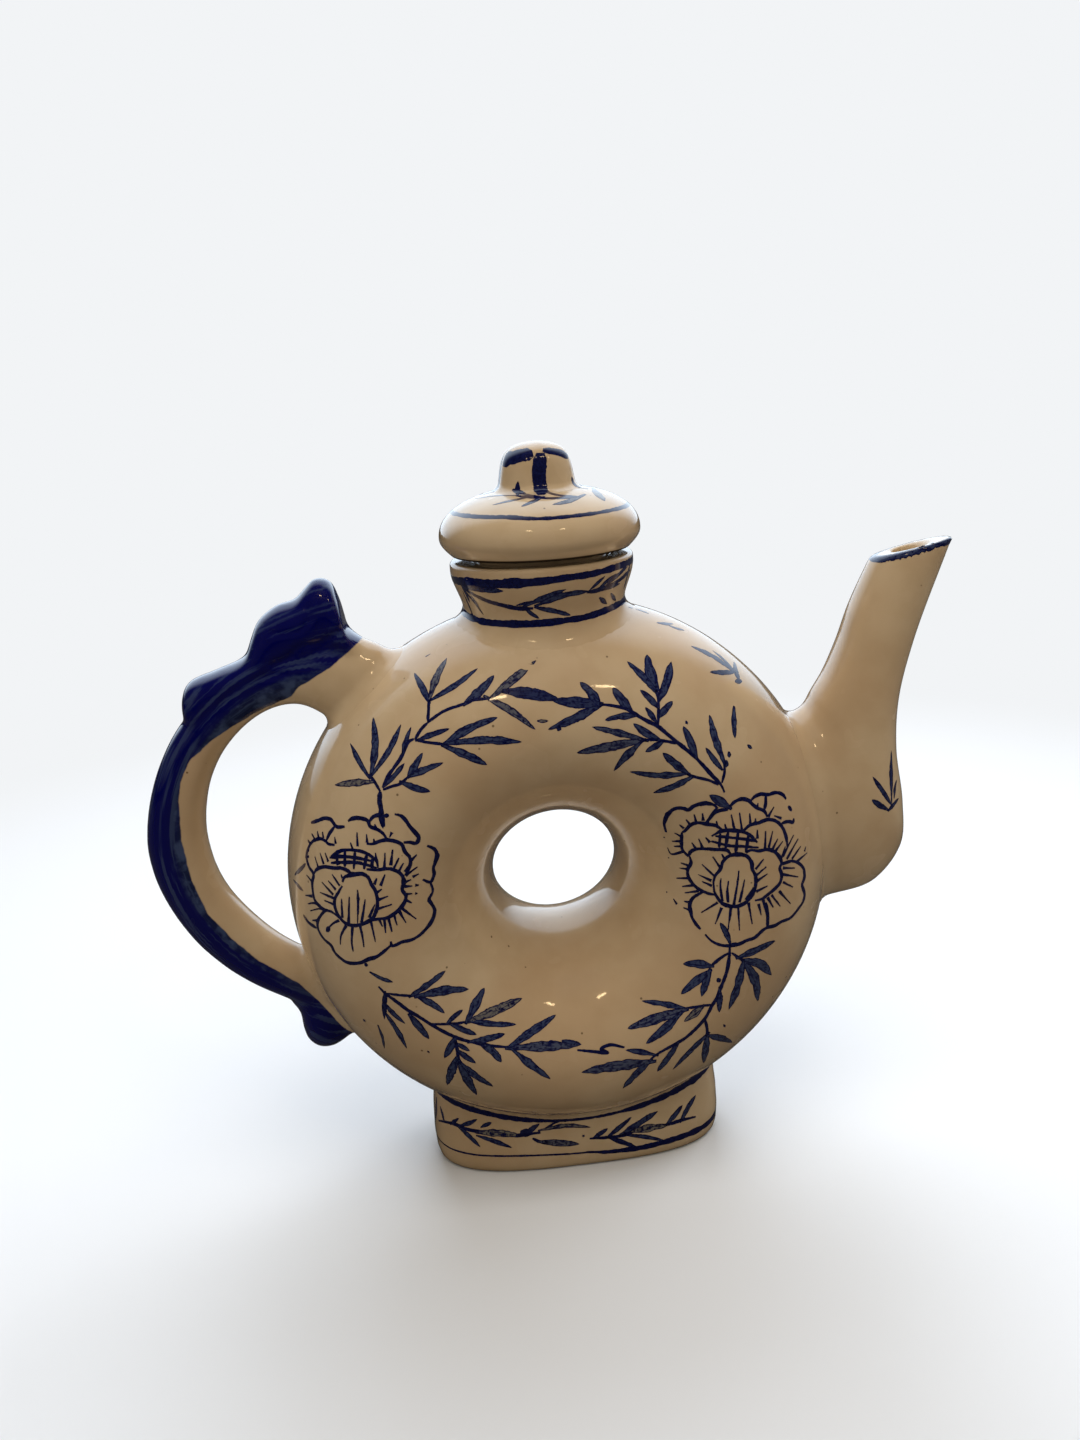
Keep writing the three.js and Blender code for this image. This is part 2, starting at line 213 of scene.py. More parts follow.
# Sizes of the patterns in the glaze, in mm
IVORY_DRIFT = 38
IVORY_CLOUD = 7
SPECK_SPACING = 4
GLAZE_SWELL = 16
GLAZE_PIT = 2.2
SHEEN_PATCH = 11
COBALT_GRAIN = 0.75
COBALT_PUFF = 3.5
EDGE_WANDER = 3

# Light, as shares of white
BACKDROP_WHITE = "#f2f4f6"
ROOM_WARMTH = "#ffeed8"
ROOM_SHARE = 0.45  # of the backdrop's light, on the camera's side
ROOM_GLOSS = 0.05  # what the glaze mirrors of the dim room
WINDOW_GLOSS = 1.8  # and of the bright window behind
WINDOW_WAY = (0, 0.85, 0.53)
WINDOW_BLUE = "#d8e8f8"
DIFFUSE_LEVEL = 0.06
FLOOR_PALE = "#e2e9f2"
FLOOR_BOUNCE = "#8a8682"  # what the floor throws back at the pot
FLOOR_MIRRORED = "#383634"  # what the glaze mirrors of it
FLOOR_SIDE = 30  # metres
FLOOR_LEVEL = -0.0003  # metres, a hair under the foot
FLOOR_FADE = (0.18, 0.5)  # metres from the middle, over which it turns into the backdrop

# Soft square lamps: name, place in metres, power in watts and colour
LAMP_SIZE = (0.9, 0.9)
LAMP_AIM = (0, 0, 0.09)
SOFT_LAMPS = [
    ("window", (0, 0.84, 1.09), 11, "#f6f7f8"),
    ("low_window", (0, 1.35, 0.43), 13, "#e6f0fa"),
    ("ceiling", (0, -0.44, 1.31), 8, "#fff4e6"),
    ("skylight", (0, 0, 1.39), 2.2, "#fff8f0"),
    ("side_window", (1.05, 0.6, 0.6), 9, "#f8f8f8"),
    ("right_wall", (1.09, -0.63, 0.43), 3.5, "#fff0dc"),
    ("left_wall", (-1.09, -0.63, 0.43), 4, "#fff2e0"),
]
# The two small lamps that the glaze mirrors as warm flecks: name and place
FLECK_LAMPS = [("left_ceiling_lamp", (-0.3, -0.9, 1.1)), ("right_ceiling_lamp", (0.45, -0.9, 1.1))]
FLECK_AIM = (0, 0, 0.1)
FLECK_SIZE = (0.14, 0.05)
FLECK_POWER = 0.5
FLECK_COLOUR = "#ffdca8"

# Cobalt colours
COBALT_INK = "#03083a"
COBALT_DEEP = "#0e1648"
COBALT_WASH = "#3c4868"
COBALT_FAINT = "#6f6c66"
COBALT_SPINE = "#000350"
COBALT_THIN = "#0f1a40"
COBALT_CLOUD = "#36456a"

# Brushwork. A sheet lies over the picture with its corner at a pixel of it, and has so many units to a pixel.
SHEET_UPPER_LEFT = (290, 640, 5.807)
SHEET_UPPER_RIGHT = (530, 640, 5.807)
SHEET_LOWER_LEFT = (350, 940, 5.807)
SHEET_LOWER_RIGHT = (560, 920, 5.807)
SHEET_RIGHT_PEONY = (640, 780, 7.84)
SHEET_LEFT_PEONY = (290, 780, 7.84)
SHEET_LID = (420, 430, 6.533)
SHEET_KNOB = (480, 430, 13.07)
SHEET_FOOT = (410, 1040, 4.9)
SHEET_SPOUT = (740, 700, 7.127)
SHEET_HANDLE = (140, 560, 6.03)
PIXELS_PER_MM = 4.06  # at the front of the pot
PETAL_LINE = 0.66  # mm across a petal's outline
BOLD_LINE = 1.35  # where the brush was pressed, before the stroke tapers
NET_LINE = 0.58
VEIN_LINE = 0.78
BRUSH_STEP = 0.45  # mm between the points of a stroke
BRUSH_PROUD = 0.035  # mm that the cobalt stands over the glaze beneath
BRUSH_SUNK = 0.25  # mm that it reaches into it
LEAST_HALF = 0.04  # mm, half the width of a stroke at its thinnest
RAGGED = (0.7, 0.12)  # mm between the nicks in a stroke's border, and their share of its width
UNEVEN = (2.2, 0.3)  # the same for its slow swells
NICKED_HALF = 0.15  # mm, half the width over which a stroke's border is nicked
STROKE_APART = 7  # mm by which each stroke's pattern is shifted from the last
CLOSED_GAP = 9  # mm from the nearest end, for a band that has none
SIGHT_RISE = 2  # mm over the skin from which a stroke's edge is laid on it

# Strokes in sheet units. A leaf is its base, its tip, its width and how thin its colour is.
# A stem is its width and its points, and a line only its points.
LEAVES_UPPER_LEFT = [
    (470, 825, 260, 842, 45, 0.8), (455, 790, 350, 600, 35, 0.5), (470, 770, 483, 450, 60, 0.5),
    (490, 760, 645, 490, 45, 0.5), (548, 845, 665, 715, 40, 0.4), (655, 665, 703, 505, 35, 0.4),
    (690, 790, 770, 655, 45, 0.5), (700, 790, 890, 712, 45, 0.5), (650, 825, 815, 880, 45, 0.4),
    (745, 580, 925, 515, 35, 0.3), (905, 600, 1205, 450, 55, 0.5), (930, 600, 1345, 592, 55, 0.5),
    (905, 620, 1145, 725, 50, 0.5), (805, 355, 722, 192, 45, 0.4), (815, 330, 910, 105, 55, 0.7),
    (830, 340, 1090, 165, 45, 0.5), (1020, 365, 1185, 205, 60, 0.5), (1175, 330, 1430, 118, 55, 0.7),
    (1260, 300, 1560, 345, 80, 0.2), (1150, 340, 1425, 520, 45, 0.7), (1440, 470, 1500, 470, 22, 0.9),
]
STEMS_UPPER_LEFT = [
    (20, (545, 1085), (530, 990), (520, 930), (525, 880)),
    (14, (525, 880), (485, 815), (455, 780)),
    (15, (540, 850), (570, 790), (640, 690), (660, 650), (690, 590), (720, 575)),
    (13, (725, 578), (760, 520), (800, 480)),
    (12, (800, 480), (805, 400), (805, 355)),
    (13, (800, 480), (830, 455), (900, 410), (1000, 375), (1060, 350), (1140, 340), (1180, 330)),
    (12, (540, 870), (590, 850), (640, 835), (690, 790)),
    (12, (725, 578), (800, 595), (900, 605)),
]
LEAVES_UPPER_RIGHT = [
    (400, 370, 130, 350, 70, 0.3), (400, 375, 290, 245, 60, 0.4), (395, 385, 105, 520, 55, 0.4),
    (580, 400, 480, 275, 65, 0.4), (610, 440, 435, 465, 45, 0.4), (735, 280, 680, 85, 75, 0.4),
    (730, 300, 565, 125, 50, 0.4), (755, 335, 820, 125, 60, 0.4), (740, 390, 640, 290, 50, 0.4),
    (755, 440, 828, 355, 50, 0.4), (735, 480, 670, 390, 35, 0.3), (745, 575, 600, 485, 50, 0.5),
    (660, 580, 360, 505, 45, 0.6), (640, 585, 272, 655, 65, 0.6), (640, 600, 487, 760, 50, 0.5),
    (770, 590, 670, 650, 40, 0.4), (965, 680, 890, 500, 55, 0.4), (910, 770, 770, 655, 55, 0.4),
    (900, 775, 580, 765, 45, 0.5), (930, 800, 715, 888, 50, 0.5), (1125, 700, 1042, 435, 55, 0.5),
    (1110, 745, 1020, 625, 40, 0.4), (1185, 400, 1190, 570, 45, 0.5), (1160, 975, 1042, 900, 55, 0.4),
    (1265, 610, 1290, 630, 30, 0.3), (1140, 700, 1140, 740, 34, 0.2), (1155, 650, 1156, 684, 28, 0.2),
    (905, 470, 916, 490, 20, 0.1), (160, 508, 182, 522, 34, 0.2),
    (1190, 190, 935, 35, 58, 0.3), (1190, 185, 1045, 187, 42, 0.3), (1170, 160, 1060, 60, 34, 0.3),
    (1190, 140, 1215, 240, 48, 0.3), (1225, 235, 1190, 245, 40, 0.3),
    (820, -95, 735, -100, 36, 0.3), (885, -60, 800, -88, 36, 0.3), (708, -145, 570, -192, 22, 0.4),
]
STEMS_UPPER_RIGHT = [
    (15, (400, 375), (430, 375), (500, 385), (560, 400), (610, 430), (680, 470), (740, 500), (790, 540),
     (850, 590), (900, 630), (960, 680), (1020, 745), (1070, 800), (1105, 835), (1130, 885)),
    (13, (745, 495), (745, 350), (735, 300), (730, 200)),
    (12, (860, 600), (800, 590), (750, 580), (640, 580)),
    (12, (1095, 840), (1040, 815), (940, 790), (910, 775)),
    (12, (1115, 830), (1130, 760), (1125, 690)),
]
LEAVES_LOWER_LEFT = [
    (125, 190, 250, 245, 35, 0.5), (360, 320, 555, 178, 50, 0.5), (400, 328, 690, 285, 60, 0.5),
    (400, 335, 550, 425, 45, 0.5), (205, 310, 200, 460, 30, 0.2), (205, 370, 320, 485, 35, 0.4),
    (205, 425, 330, 630, 40, 0.5), (165, 505, 200, 630, 25, 0.5), (76, 462, 90, 476, 24, 0.1),
    (350, 440, 460, 575, 55, 0.5), (565, 485, 655, 405, 35, 0.4), (680, 470, 780, 278, 60, 0.5),
    (710, 465, 1000, 338, 65, 0.8), (700, 470, 965, 490, 45, 0.5), (590, 490, 735, 550, 40, 0.4),
    (700, 590, 900, 545, 50, 0.5), (760, 605, 880, 710, 55, 0.5), (940, 610, 1195, 435, 60, 0.5),
    (940, 625, 1345, 605, 70, 0.6), (950, 640, 1165, 808, 50, 0.5), (610, 570, 548, 685, 50, 0.4),
    (620, 600, 695, 645, 35, 0.4), (625, 640, 730, 715, 40, 0.4), (620, 690, 565, 840, 60, 0.5),
    (640, 710, 735, 900, 60, 0.5), (650, 715, 830, 850, 50, 0.5), (450, 644, 462, 656, 18, 0.1),
]
STEMS_LOWER_LEFT = [
    (15, (165, 270), (205, 310), (260, 350), (340, 410), (400, 445), (470, 490), (560, 540), (640, 575),
     (720, 595), (790, 610), (860, 618), (980, 625)),
    (12, (215, 310), (290, 320), (380, 325)),
    (20, (205, 310), (200, 380), (200, 430)),
    (12, (470, 488), (560, 488), (620, 485), (690, 470)),
    (14, (610, 570), (620, 620), (630, 690), (640, 720)),
]
LEAVES_LOWER_RIGHT = [
    (985, 130, 930, 15, 40, 0.4), (880, 270, 715, 255, 55, 0.5), (865, 300, 703, 430, 60, 0.5),
    (870, 295, 822, 445, 50, 0.5), (1040, 215, 1250, 120, 55, 0.5), (1070, 240, 1228, 320, 65, 0.5, -0.16),
    (1080, 260, 1150, 470, 70, 0.5, -0.1), (1060, 250, 980, 520, 60, 0.5, -0.04),
    (915, 340, 930, 362, 34, 0.2), (925, 400, 925, 535, 45, 0.4), (720, 512, 475, 470, 40, 0.5),
    (715, 525, 393, 630, 75, 0.6), (690, 550, 500, 718, 65, 0.5), (830, 500, 720, 590, 50, 0.8),
    (850, 670, 655, 868, 50, 0.5), (855, 680, 835, 830, 55, 0.5), (860, 670, 1000, 710, 50, 0.5),
    (950, 608, 960, 622, 20, 0.1), (680, 720, 565, 880, 55, 0.5), (520, 820, 365, 978, 60, 0.5),
    (520, 825, 125, 885, 85, 0.6), (555, 785, 380, 755, 40, 0.5), (20, 702, 120, 720, 34, 0.4),
]
STEMS_LOWER_RIGHT = [
    (15, (985, 140), (985, 190), (975, 270), (955, 340), (930, 400), (905, 460), (880, 500), (850, 560),
     (790, 630), (720, 690), (650, 730), (555, 785), (520, 815)),
    (12, (980, 190), (920, 230), (880, 265)),
    (12, (995, 190), (1040, 220), (1070, 240)),
    (12, (885, 490), (820, 500), (720, 515)),
    (12, (840, 570), (855, 640), (850, 680)),
    (14, (375, 740), (290, 725), (240, 750), (280, 770), (200, 765), (100, 755)),
]
RIGHT_PETALS = [
    ((205, 410), (190, 340), (215, 270), (270, 225), (340, 222), (375, 235), (430, 200), (520, 180),
     (580, 195), (610, 225)),
    ((600, 225), (540, 310), (515, 340)),
    ((700, 220), (730, 180), (790, 150), (850, 160), (880, 190), (920, 220), (970, 240), (1000, 290)),
    ((690, 235), (640, 235), (580, 260), (540, 310)),
    ((865, 165), (900, 130), (950, 110), (1000, 115), (1070, 98), (1120, 115), (1145, 150)),
    ((1160, 205), (1190, 240)),
    ((985, 120), (985, 180), (975, 235)),
    ((1110, 340), (1160, 325), (1200, 330), (1205, 300)),
    ((330, 410), (350, 400), (400, 350), (460, 335), (520, 345), (600, 360), (650, 400)),
    ((330, 410), (325, 480), (330, 540), (380, 600)),
    ((810, 400), (860, 355), (930, 335), (1000, 310), (1060, 320), (1100, 350), (1130, 400), (1150, 470),
     (1155, 530)),
    ((560, 440), (640, 400), (720, 395), (800, 405), (860, 430), (920, 490)),
    ((380, 600), (400, 560), (450, 540), (520, 540), (600, 545), (680, 550), (710, 580)),
    ((390, 600), (400, 650), (375, 700), (380, 760), (420, 820), (470, 860), (540, 890), (590, 900)),
    ((830, 570), (870, 550), (930, 555), (1000, 545), (1050, 560), (1090, 600), (1110, 650), (1095, 690),
     (1110, 740), (1100, 800), (1060, 850), (1000, 900), (960, 930), (900, 945)),
    ((575, 800), (590, 750), (630, 700), (650, 640), (700, 595), (780, 580), (840, 600), (875, 650),
     (880, 700), (905, 750), (905, 830), (880, 900), (840, 950), (780, 985), (720, 990), (660, 975),
     (620, 940), (585, 880), (575, 800)),
    ((490, 880), (450, 900), (410, 930), (390, 980), (395, 1020), (410, 1080), (440, 1130), (475, 1170)),
    ((510, 1210), (560, 1260), (620, 1290), (700, 1300), (780, 1285), (830, 1260), (900, 1235),
     (950, 1190), (990, 1160), (1060, 1140), (1110, 1110), (1180, 1080), (1240, 1010), (1280, 950),
     (1290, 890), (1270, 820), (1290, 750), (1280, 690), (1240, 650), (1180, 635), (1120, 650)),
    ((1000, 1150), (1000, 1060), (985, 960)),
]
RIGHT_NET = [
    ((590, 440), (700, 450), (830, 465), (910, 480)), ((560, 480), (700, 515), (800, 520), (930, 530)),
    ((630, 420), (620, 530)), ((690, 410), (670, 540)), ((770, 400), (750, 570)), ((850, 430), (830, 570)),
]
RIGHT_VEINS = [
    ((645, 950), (630, 820), (635, 770)), ((690, 960), (685, 860), (695, 790)),
    ((735, 980), (765, 800), (775, 710)), ((780, 960), (800, 880), (820, 780)), ((830, 940), (890, 840)),
    ((590, 760), (485, 660)), ((560, 790), (455, 740)), ((565, 830), (485, 795)), ((630, 690), (570, 600)),
    ((665, 620), (640, 580)), ((905, 700), (970, 620)), ((915, 745), (990, 680)), ((920, 790), (1000, 735)),
    ((910, 875), (1000, 830)), ((610, 960), (480, 1040)), ((640, 1000), (590, 1130)),
    ((715, 990), (690, 1180)), ((770, 990), (780, 1180)), ((850, 960), (880, 1130)),
    ((930, 970), (950, 1060)), ((965, 940), (985, 1020), (1000, 1100)), ((1000, 920), (1045, 1000)),
    ((1030, 900), (1100, 990)), ((1090, 870), (1180, 970)), ((1120, 800), (1200, 840)),
    ((1120, 740), (1240, 760)), ((1120, 690), (1215, 690)), ((1115, 660), (1180, 645)),
    ((1120, 600), (1205, 430)), ((1150, 620), (1240, 460)), ((1190, 620), (1260, 520)),
    ((1230, 640), (1310, 570)), ((1290, 560), (1300, 520)), ((380, 670), (320, 650)),
    ((380, 700), (310, 690)), ((375, 770), (285, 770)), ((420, 825), (330, 835)), ((460, 870), (350, 885)),
    ((400, 960), (345, 950)), ((290, 975), (260, 930)), ((390, 1020), (340, 1000)), ((320, 440), (270, 415)),
    ((320, 480), (250, 480)), ((330, 520), (265, 520)), ((340, 560), (245, 580), (215, 530)),
    ((345, 380), (310, 350)), ((395, 350), (360, 310)), ((440, 330), (425, 270)), ((495, 320), (490, 260)),
    ((440, 540), (405, 490)), ((490, 530), (460, 460)), ((550, 490), (515, 450)), ((605, 360), (600, 320)),
    ((680, 400), (665, 345)), ((740, 390), (715, 270)), ((800, 400), (780, 255)), ((865, 340), (860, 260)),
    ((905, 340), (905, 300)), ((920, 460), (920, 390)), ((980, 540), (985, 400)), ((1010, 530), (1040, 400)),
    ((1040, 540), (1080, 460)), ((1060, 560), (1120, 480)), ((1110, 610), (1140, 520)),
    ((920, 215), (925, 180)), ((1005, 290), (1050, 210)), ((1110, 300), (1050, 280)),
]
LEFT_PETALS = [
    ((165, 335), (200, 325), (270, 300), (320, 310), (350, 350), (370, 368), (430, 365)),
    ((350, 365), (310, 420), (285, 475)),
    ((455, 325), (490, 300), (560, 300), (610, 320), (630, 365), (690, 390), (730, 420), (760, 465)),
    ((620, 330), (650, 290), (690, 275), (715, 278)), ((735, 285), (775, 274)),
    ((820, 268), (870, 280), (910, 320), (940, 365), (980, 410), (1010, 450), (990, 495), (940, 488),
     (890, 490)),
    ((600, 500), (650, 500), (700, 480), (760, 470), (840, 485), (880, 510), (900, 560), (940, 610),
     (945, 650), (920, 720), (905, 750)),
    ((1075, 515), (1130, 540), (1155, 590), (1140, 640), (1125, 690), (1130, 740), (1100, 800), (1040, 780)),
    ((1100, 800), (1120, 870), (1090, 940), (1110, 970), (1135, 1020), (1120, 1090), (1080, 1150),
     (1030, 1205), (960, 1250), (880, 1270), (800, 1300), (790, 1265)),
    ((800, 1290), (740, 1340), (680, 1385), (620, 1405), (540, 1435), (450, 1430), (400, 1400),
     (350, 1350), (325, 1300), (270, 1250), (230, 1190), (215, 1130), (230, 1080), (270, 1030), (300, 1020)),
    ((590, 1435), (602, 1462)),
    ((350, 510), (300, 500), (280, 480), (240, 460), (180, 480), (150, 520), (130, 600), (150, 680),
     (185, 740), (175, 800), (180, 880), (200, 950), (260, 1010), (330, 1035), (385, 1080)),
    ((185, 740), (210, 700), (270, 680), (340, 690), (400, 690), (450, 710), (480, 735)),
    ((600, 700), (690, 705), (760, 695), (830, 710), (880, 750), (890, 800), (880, 860), (910, 910),
     (890, 970), (840, 1030), (760, 1080), (690, 1090), (620, 1105)),
    ((410, 800), (430, 760), (480, 740), (560, 735), (610, 760), (640, 820), (670, 870), (685, 940),
     (680, 1010), (650, 1080), (590, 1120), (520, 1140), (450, 1130), (400, 1090), (360, 1020), (350, 940),
     (380, 880), (410, 830)),
    ((105, 1060), (150, 1120), (210, 1160)),
]
LEFT_BOLD = [
    ((455, 322), (490, 302), (560, 300), (612, 322)), ((1132, 545), (1154, 590), (1140, 640), (1128, 690)),
    ((1112, 970), (1134, 1020), (1118, 1090), (1080, 1150), (1030, 1205)),
    ((430, 765), (480, 742), (600, 740)),
    ((690, 1378), (620, 1402), (550, 1430)), ((712, 190), (712, 290), (730, 380)), ((285, 1188), (315, 1148)),
    ((885, 750), (892, 800), (884, 860)), ((355, 640), (400, 655)),
]
LEFT_NET = [
    ((320, 600), (350, 580), (420, 550), (560, 560), (640, 600), (680, 640), (690, 690)),
    ((310, 610), (400, 600), (520, 610), (660, 640)), ((320, 650), (420, 645), (540, 650), (680, 690)),
    ((370, 580), (370, 670)), ((430, 550), (430, 680)), ((510, 560), (500, 700)), ((600, 590), (580, 700)),
    ((650, 610), (640, 690)),
]
LEFT_VEINS = [
    ((225, 455), (215, 400)), ((262, 455), (255, 405)), ((195, 465), (170, 420)), ((160, 500), (140, 470)),
    ((150, 555), (135, 540)), ((150, 600), (120, 605)), ((265, 660), (235, 570)), ((300, 640), (275, 570)),
    ((220, 680), (195, 600)), ((530, 520), (525, 410)), ((605, 490), (600, 425)), ((665, 500), (655, 460)),
    ((490, 540), (475, 490)), ((360, 500), (350, 445)), ((800, 410), (780, 450)), ((672, 375), (665, 345)),
    ((680, 640), (670, 570)), ((740, 690), (745, 570)), ((790, 670), (805, 545)), ((815, 690), (855, 610)),
    ((850, 720), (890, 650)), ((900, 720), (930, 670)), ((940, 600), (920, 570)), ((950, 630), (995, 585)),
    ((905, 750), (1000, 680)), ((960, 760), (1010, 735)), ((710, 830), (745, 740)), ((660, 820), (680, 770)),
    ((685, 880), (720, 855)), ((690, 940), (770, 910)), ((690, 1010), (800, 975)), ((905, 800), (950, 780)),
    ((900, 835), (960, 830)), ((980, 825), (1010, 825)), ((915, 895), (960, 890)), ((980, 890), (1000, 890)),
    ((910, 940), (955, 965)), ((870, 1000), (990, 1090)), ((850, 1020), (910, 1120)),
    ((810, 1040), (840, 1140)), ((770, 1080), (800, 1190)), ((740, 1090), (750, 1200)),
    ((700, 1095), (725, 1150)), ((635, 1110), (670, 1270)), ((550, 1140), (570, 1240), (580, 1310)),
    ((490, 1150), (485, 1280), (495, 1345)), ((440, 1140), (400, 1220), (395, 1290)),
    ((385, 1100), (330, 1130), (285, 1190)), ((340, 900), (250, 800)), ((390, 830), (330, 740)),
    ((360, 860), (300, 790)), ((350, 930), (235, 880)), ((345, 975), (270, 945)), ((410, 770), (400, 740)),
    ((175, 800), (130, 745)), ((175, 910), (120, 905)), ((240, 990), (190, 965), (140, 970)),
    ((270, 1025), (240, 1010), (160, 1025)), ((215, 1100), (175, 1100)), ((535, 920), (530, 1130)),
    ((535, 940), (530, 860)), ((460, 1120), (465, 915)), ((410, 1080), (405, 930)),
    ((560, 1120), (580, 1000), (590, 935)), ((620, 1080), (665, 975)),
]
LEFT_LEAVES = [(45, 735, 125, 655, 44, 0.5), (35, 790, 105, 870, 40, 0.5)]
RIGHT_BOLD = [
    ((192, 345), (215, 272), (270, 227)), ((430, 202), (520, 182), (580, 196)),
    ((1272, 830), (1290, 750), (1278, 690)), ((1290, 890), (1278, 955), (1238, 1010)),
    ((700, 598), (780, 582), (838, 602)), ((700, 1298), (780, 1284)),
]
RIGHT_DOTS = [(186, 446, 194, 454, 22, 0), (206, 876, 214, 884, 20, 0), (221, 606, 229, 614, 18, 0)]
LEAVES_NECK = [
    (300, 1030, 545, 1052, 48, 0.3), (640, 1143, 751, 1115, 23, 0.3), (690, 1150, 955, 1040, 42, 0.4),
    (780, 1143, 1102, 1053, 52, 0.4), (767, 1163, 985, 1210, 46, 0.4), (690, 1165, 780, 1232, 33, 0.3),
    (294, 1053, 416, 1208, 26, 0.3), (286, 1070, 351, 1225, 22, 0.3), (340, 1090, 395, 1180, 24, 0.3),
    (261, 990, 327, 1130, 40, 0.3), (1110, 1045, 1208, 955, 28, 0.3), (1160, 1050, 1282, 939, 32, 0.3),
    (1130, 1050, 1250, 1020, 28, 0.3), (1230, 1000, 1355, 890, 38, 0.3), (1192, 1045, 1306, 1004, 34, 0.3),
    (1372, 870, 1330, 1040, 40, 0.3), (1176, 1097, 1221, 1137, 32, 0.3), (1250, 1070, 1280, 1115, 32, 0.3),
]
STEMS_NECK = [
    (22, (290, 1040), (400, 1100), (500, 1135), (640, 1165), (740, 1165)),
    (22, (1090, 1060), (1150, 1050), (1230, 1020), (1310, 975), (1372, 915)),
]
LEAVES_LID = [
    (702, 441, 474, 490, 32, 0.7), (800, 440, 661, 500, 40, 0.6), (1061, 426, 865, 488, 50, 0.7),
    (670, 433, 359, 448, 22, 0.4), (1135, 384, 1208, 465, 66, 0.8),
]
STEMS_LID = [
    (22, (604, 389), (660, 412), (718, 428), (800, 438)),
    (24, (784, 384), (840, 408), (898, 425), (1045, 438)),
    (22, (620, 428), (720, 440), (849, 446), (1045, 438)),
]
KNOB_STRIPE = [(122, (790, 300), (783, 430), (768, 560), (775, 680), (792, 770), (800, 850))]
KNOB_NOTCH = [(490, 850, 497, 670, 84, 0)]
KNOB_CAPS = [
    (140, (270, 405), (360, 372), (470, 340), (600, 310), (690, 300)),
    (80, (820, 262), (950, 275), (1060, 300), (1150, 345)),
]
LEAVES_FOOT = [
    (130, 262, 122, 395, 34, 0.4), (150, 300, 168, 375, 26, 0.3),
    (340, 425, 540, 430, 50, 0.9), (240, 400, 345, 515, 34, 0.4), (340, 450, 500, 515, 34, 0.4),
    (200, 385, 240, 350, 24, 0.3), (250, 390, 330, 345, 28, 0.3), (350, 390, 400, 350, 26, 0.3),
    (570, 420, 635, 350, 32, 0.3), (545, 408, 600, 412, 56, 0.1), (650, 395, 885, 380, 30, 0.8),
    (640, 475, 830, 490, 45, 0.7), (905, 450, 970, 400, 30, 0.3), (975, 445, 1085, 350, 34, 0.3),
    (1040, 440, 1215, 320, 45, 0.4), (1095, 430, 1260, 400, 50, 0.9), (1060, 450, 1250, 485, 30, 0.4),
    (980, 460, 1110, 520, 34, 0.1), (1260, 390, 1335, 290, 36, 0.4), (1330, 370, 1400, 240, 38, 0.4),
    (846, 431, 856, 439, 18, 0),
]
STEMS_FOOT = [
    (15, (140, 370), (220, 385), (270, 410), (350, 420), (520, 430), (580, 420), (640, 410)),
    (8, (660, 385), (710, 345), (760, 320)),
    (12, (600, 450), (640, 475), (700, 480)),
    (14, (880, 455), (960, 455), (1050, 450), (1100, 430), (1260, 395), (1330, 370), (1400, 350)),
]
# The foot meets the belly lower than the brushed sprays leave room for: column, and how far down they move
FOOT_LOWERED = [(0, 20), (88, 28), (245, 38), (480, 70), (813, 68), (1147, 28), (1500, 30)]
FOOT_STILL_ROW = 560  # nothing moves from this row down
FOOT_JOINT_ROW = 320  # and all of it in this one
JOINT_HEIGHTS = (26, 12)  # between which the joint is looked for
JOINT_STEP = 0.1
JOINT_CLEARANCE = 1.2  # mm that its line keeps off the belly
LEAVES_SPOUT = [
    (1075, 740, 945, 545, 44, 0.3), (1050, 780, 940, 710, 52, 0.2), (1080, 700, 1078, 360, 46, 0.3),
    (1100, 690, 1115, 570, 36, 0.3), (1060, 785, 1130, 700, 40, 0.3), (70, 325, 80, 335, 16, 0),
]
# The cobalt bands, as angle about the upright axis (front is 270 degrees), height, and width in mm
LID_LINE = [(0, 177.6, 1.1), (90, 177.8, 1.3), (180, 178.4, 1.1), (240, 178.2, 1.3), (270, 177.5, 1.1)]
NECK_UPPER_LINE = [(0, 164.3, 1.7), (90, 163.2, 1.5), (180, 162.2, 1.7), (220, 162.6, 2.4), (250, 163.0, 2.2),
                   (285, 163.6, 1.5), (325, 164.2, 1.6)]
NECK_LOWER_LINE = [(0, 154.6, 1.8), (90, 153.0, 1.6), (180, 153.9, 1.6), (225, 152.8, 1.6), (255, 152.8, 1.8),
                   (285, 153.1, 1.7), (330, 154.1, 1.6)]
FOOT_LOW_LINE = [(0, 5.4, 1.8), (60, 4.2, 0.9), (120, 5.2, 0.5), (180, 6.3, 0.6), (215, 6.0, 0.6),
                 (270, 4.8, 0.6), (290, 4.0, 1.3), (305, 3.8, 1.8), (335, 4.4, 2.0)]
# Share of the foot's length from its left end, and the width of the line where it meets the belly
FOOT_JOINT_LINE = [
    (0, 1.5), (0.12, 1.9), (0.28, 1.7), (0.4, 0.9), (0.6, 0.9), (0.72, 2.0), (0.9, 2.4), (1, 1.6),
]
JOINT_LOOK_IN = 60  # mm from the axis
LIP_LINE = (0.8, 0.45)  # mm: half its width at the middle, and what it gains towards the pot
LIP_THIN = 0.4
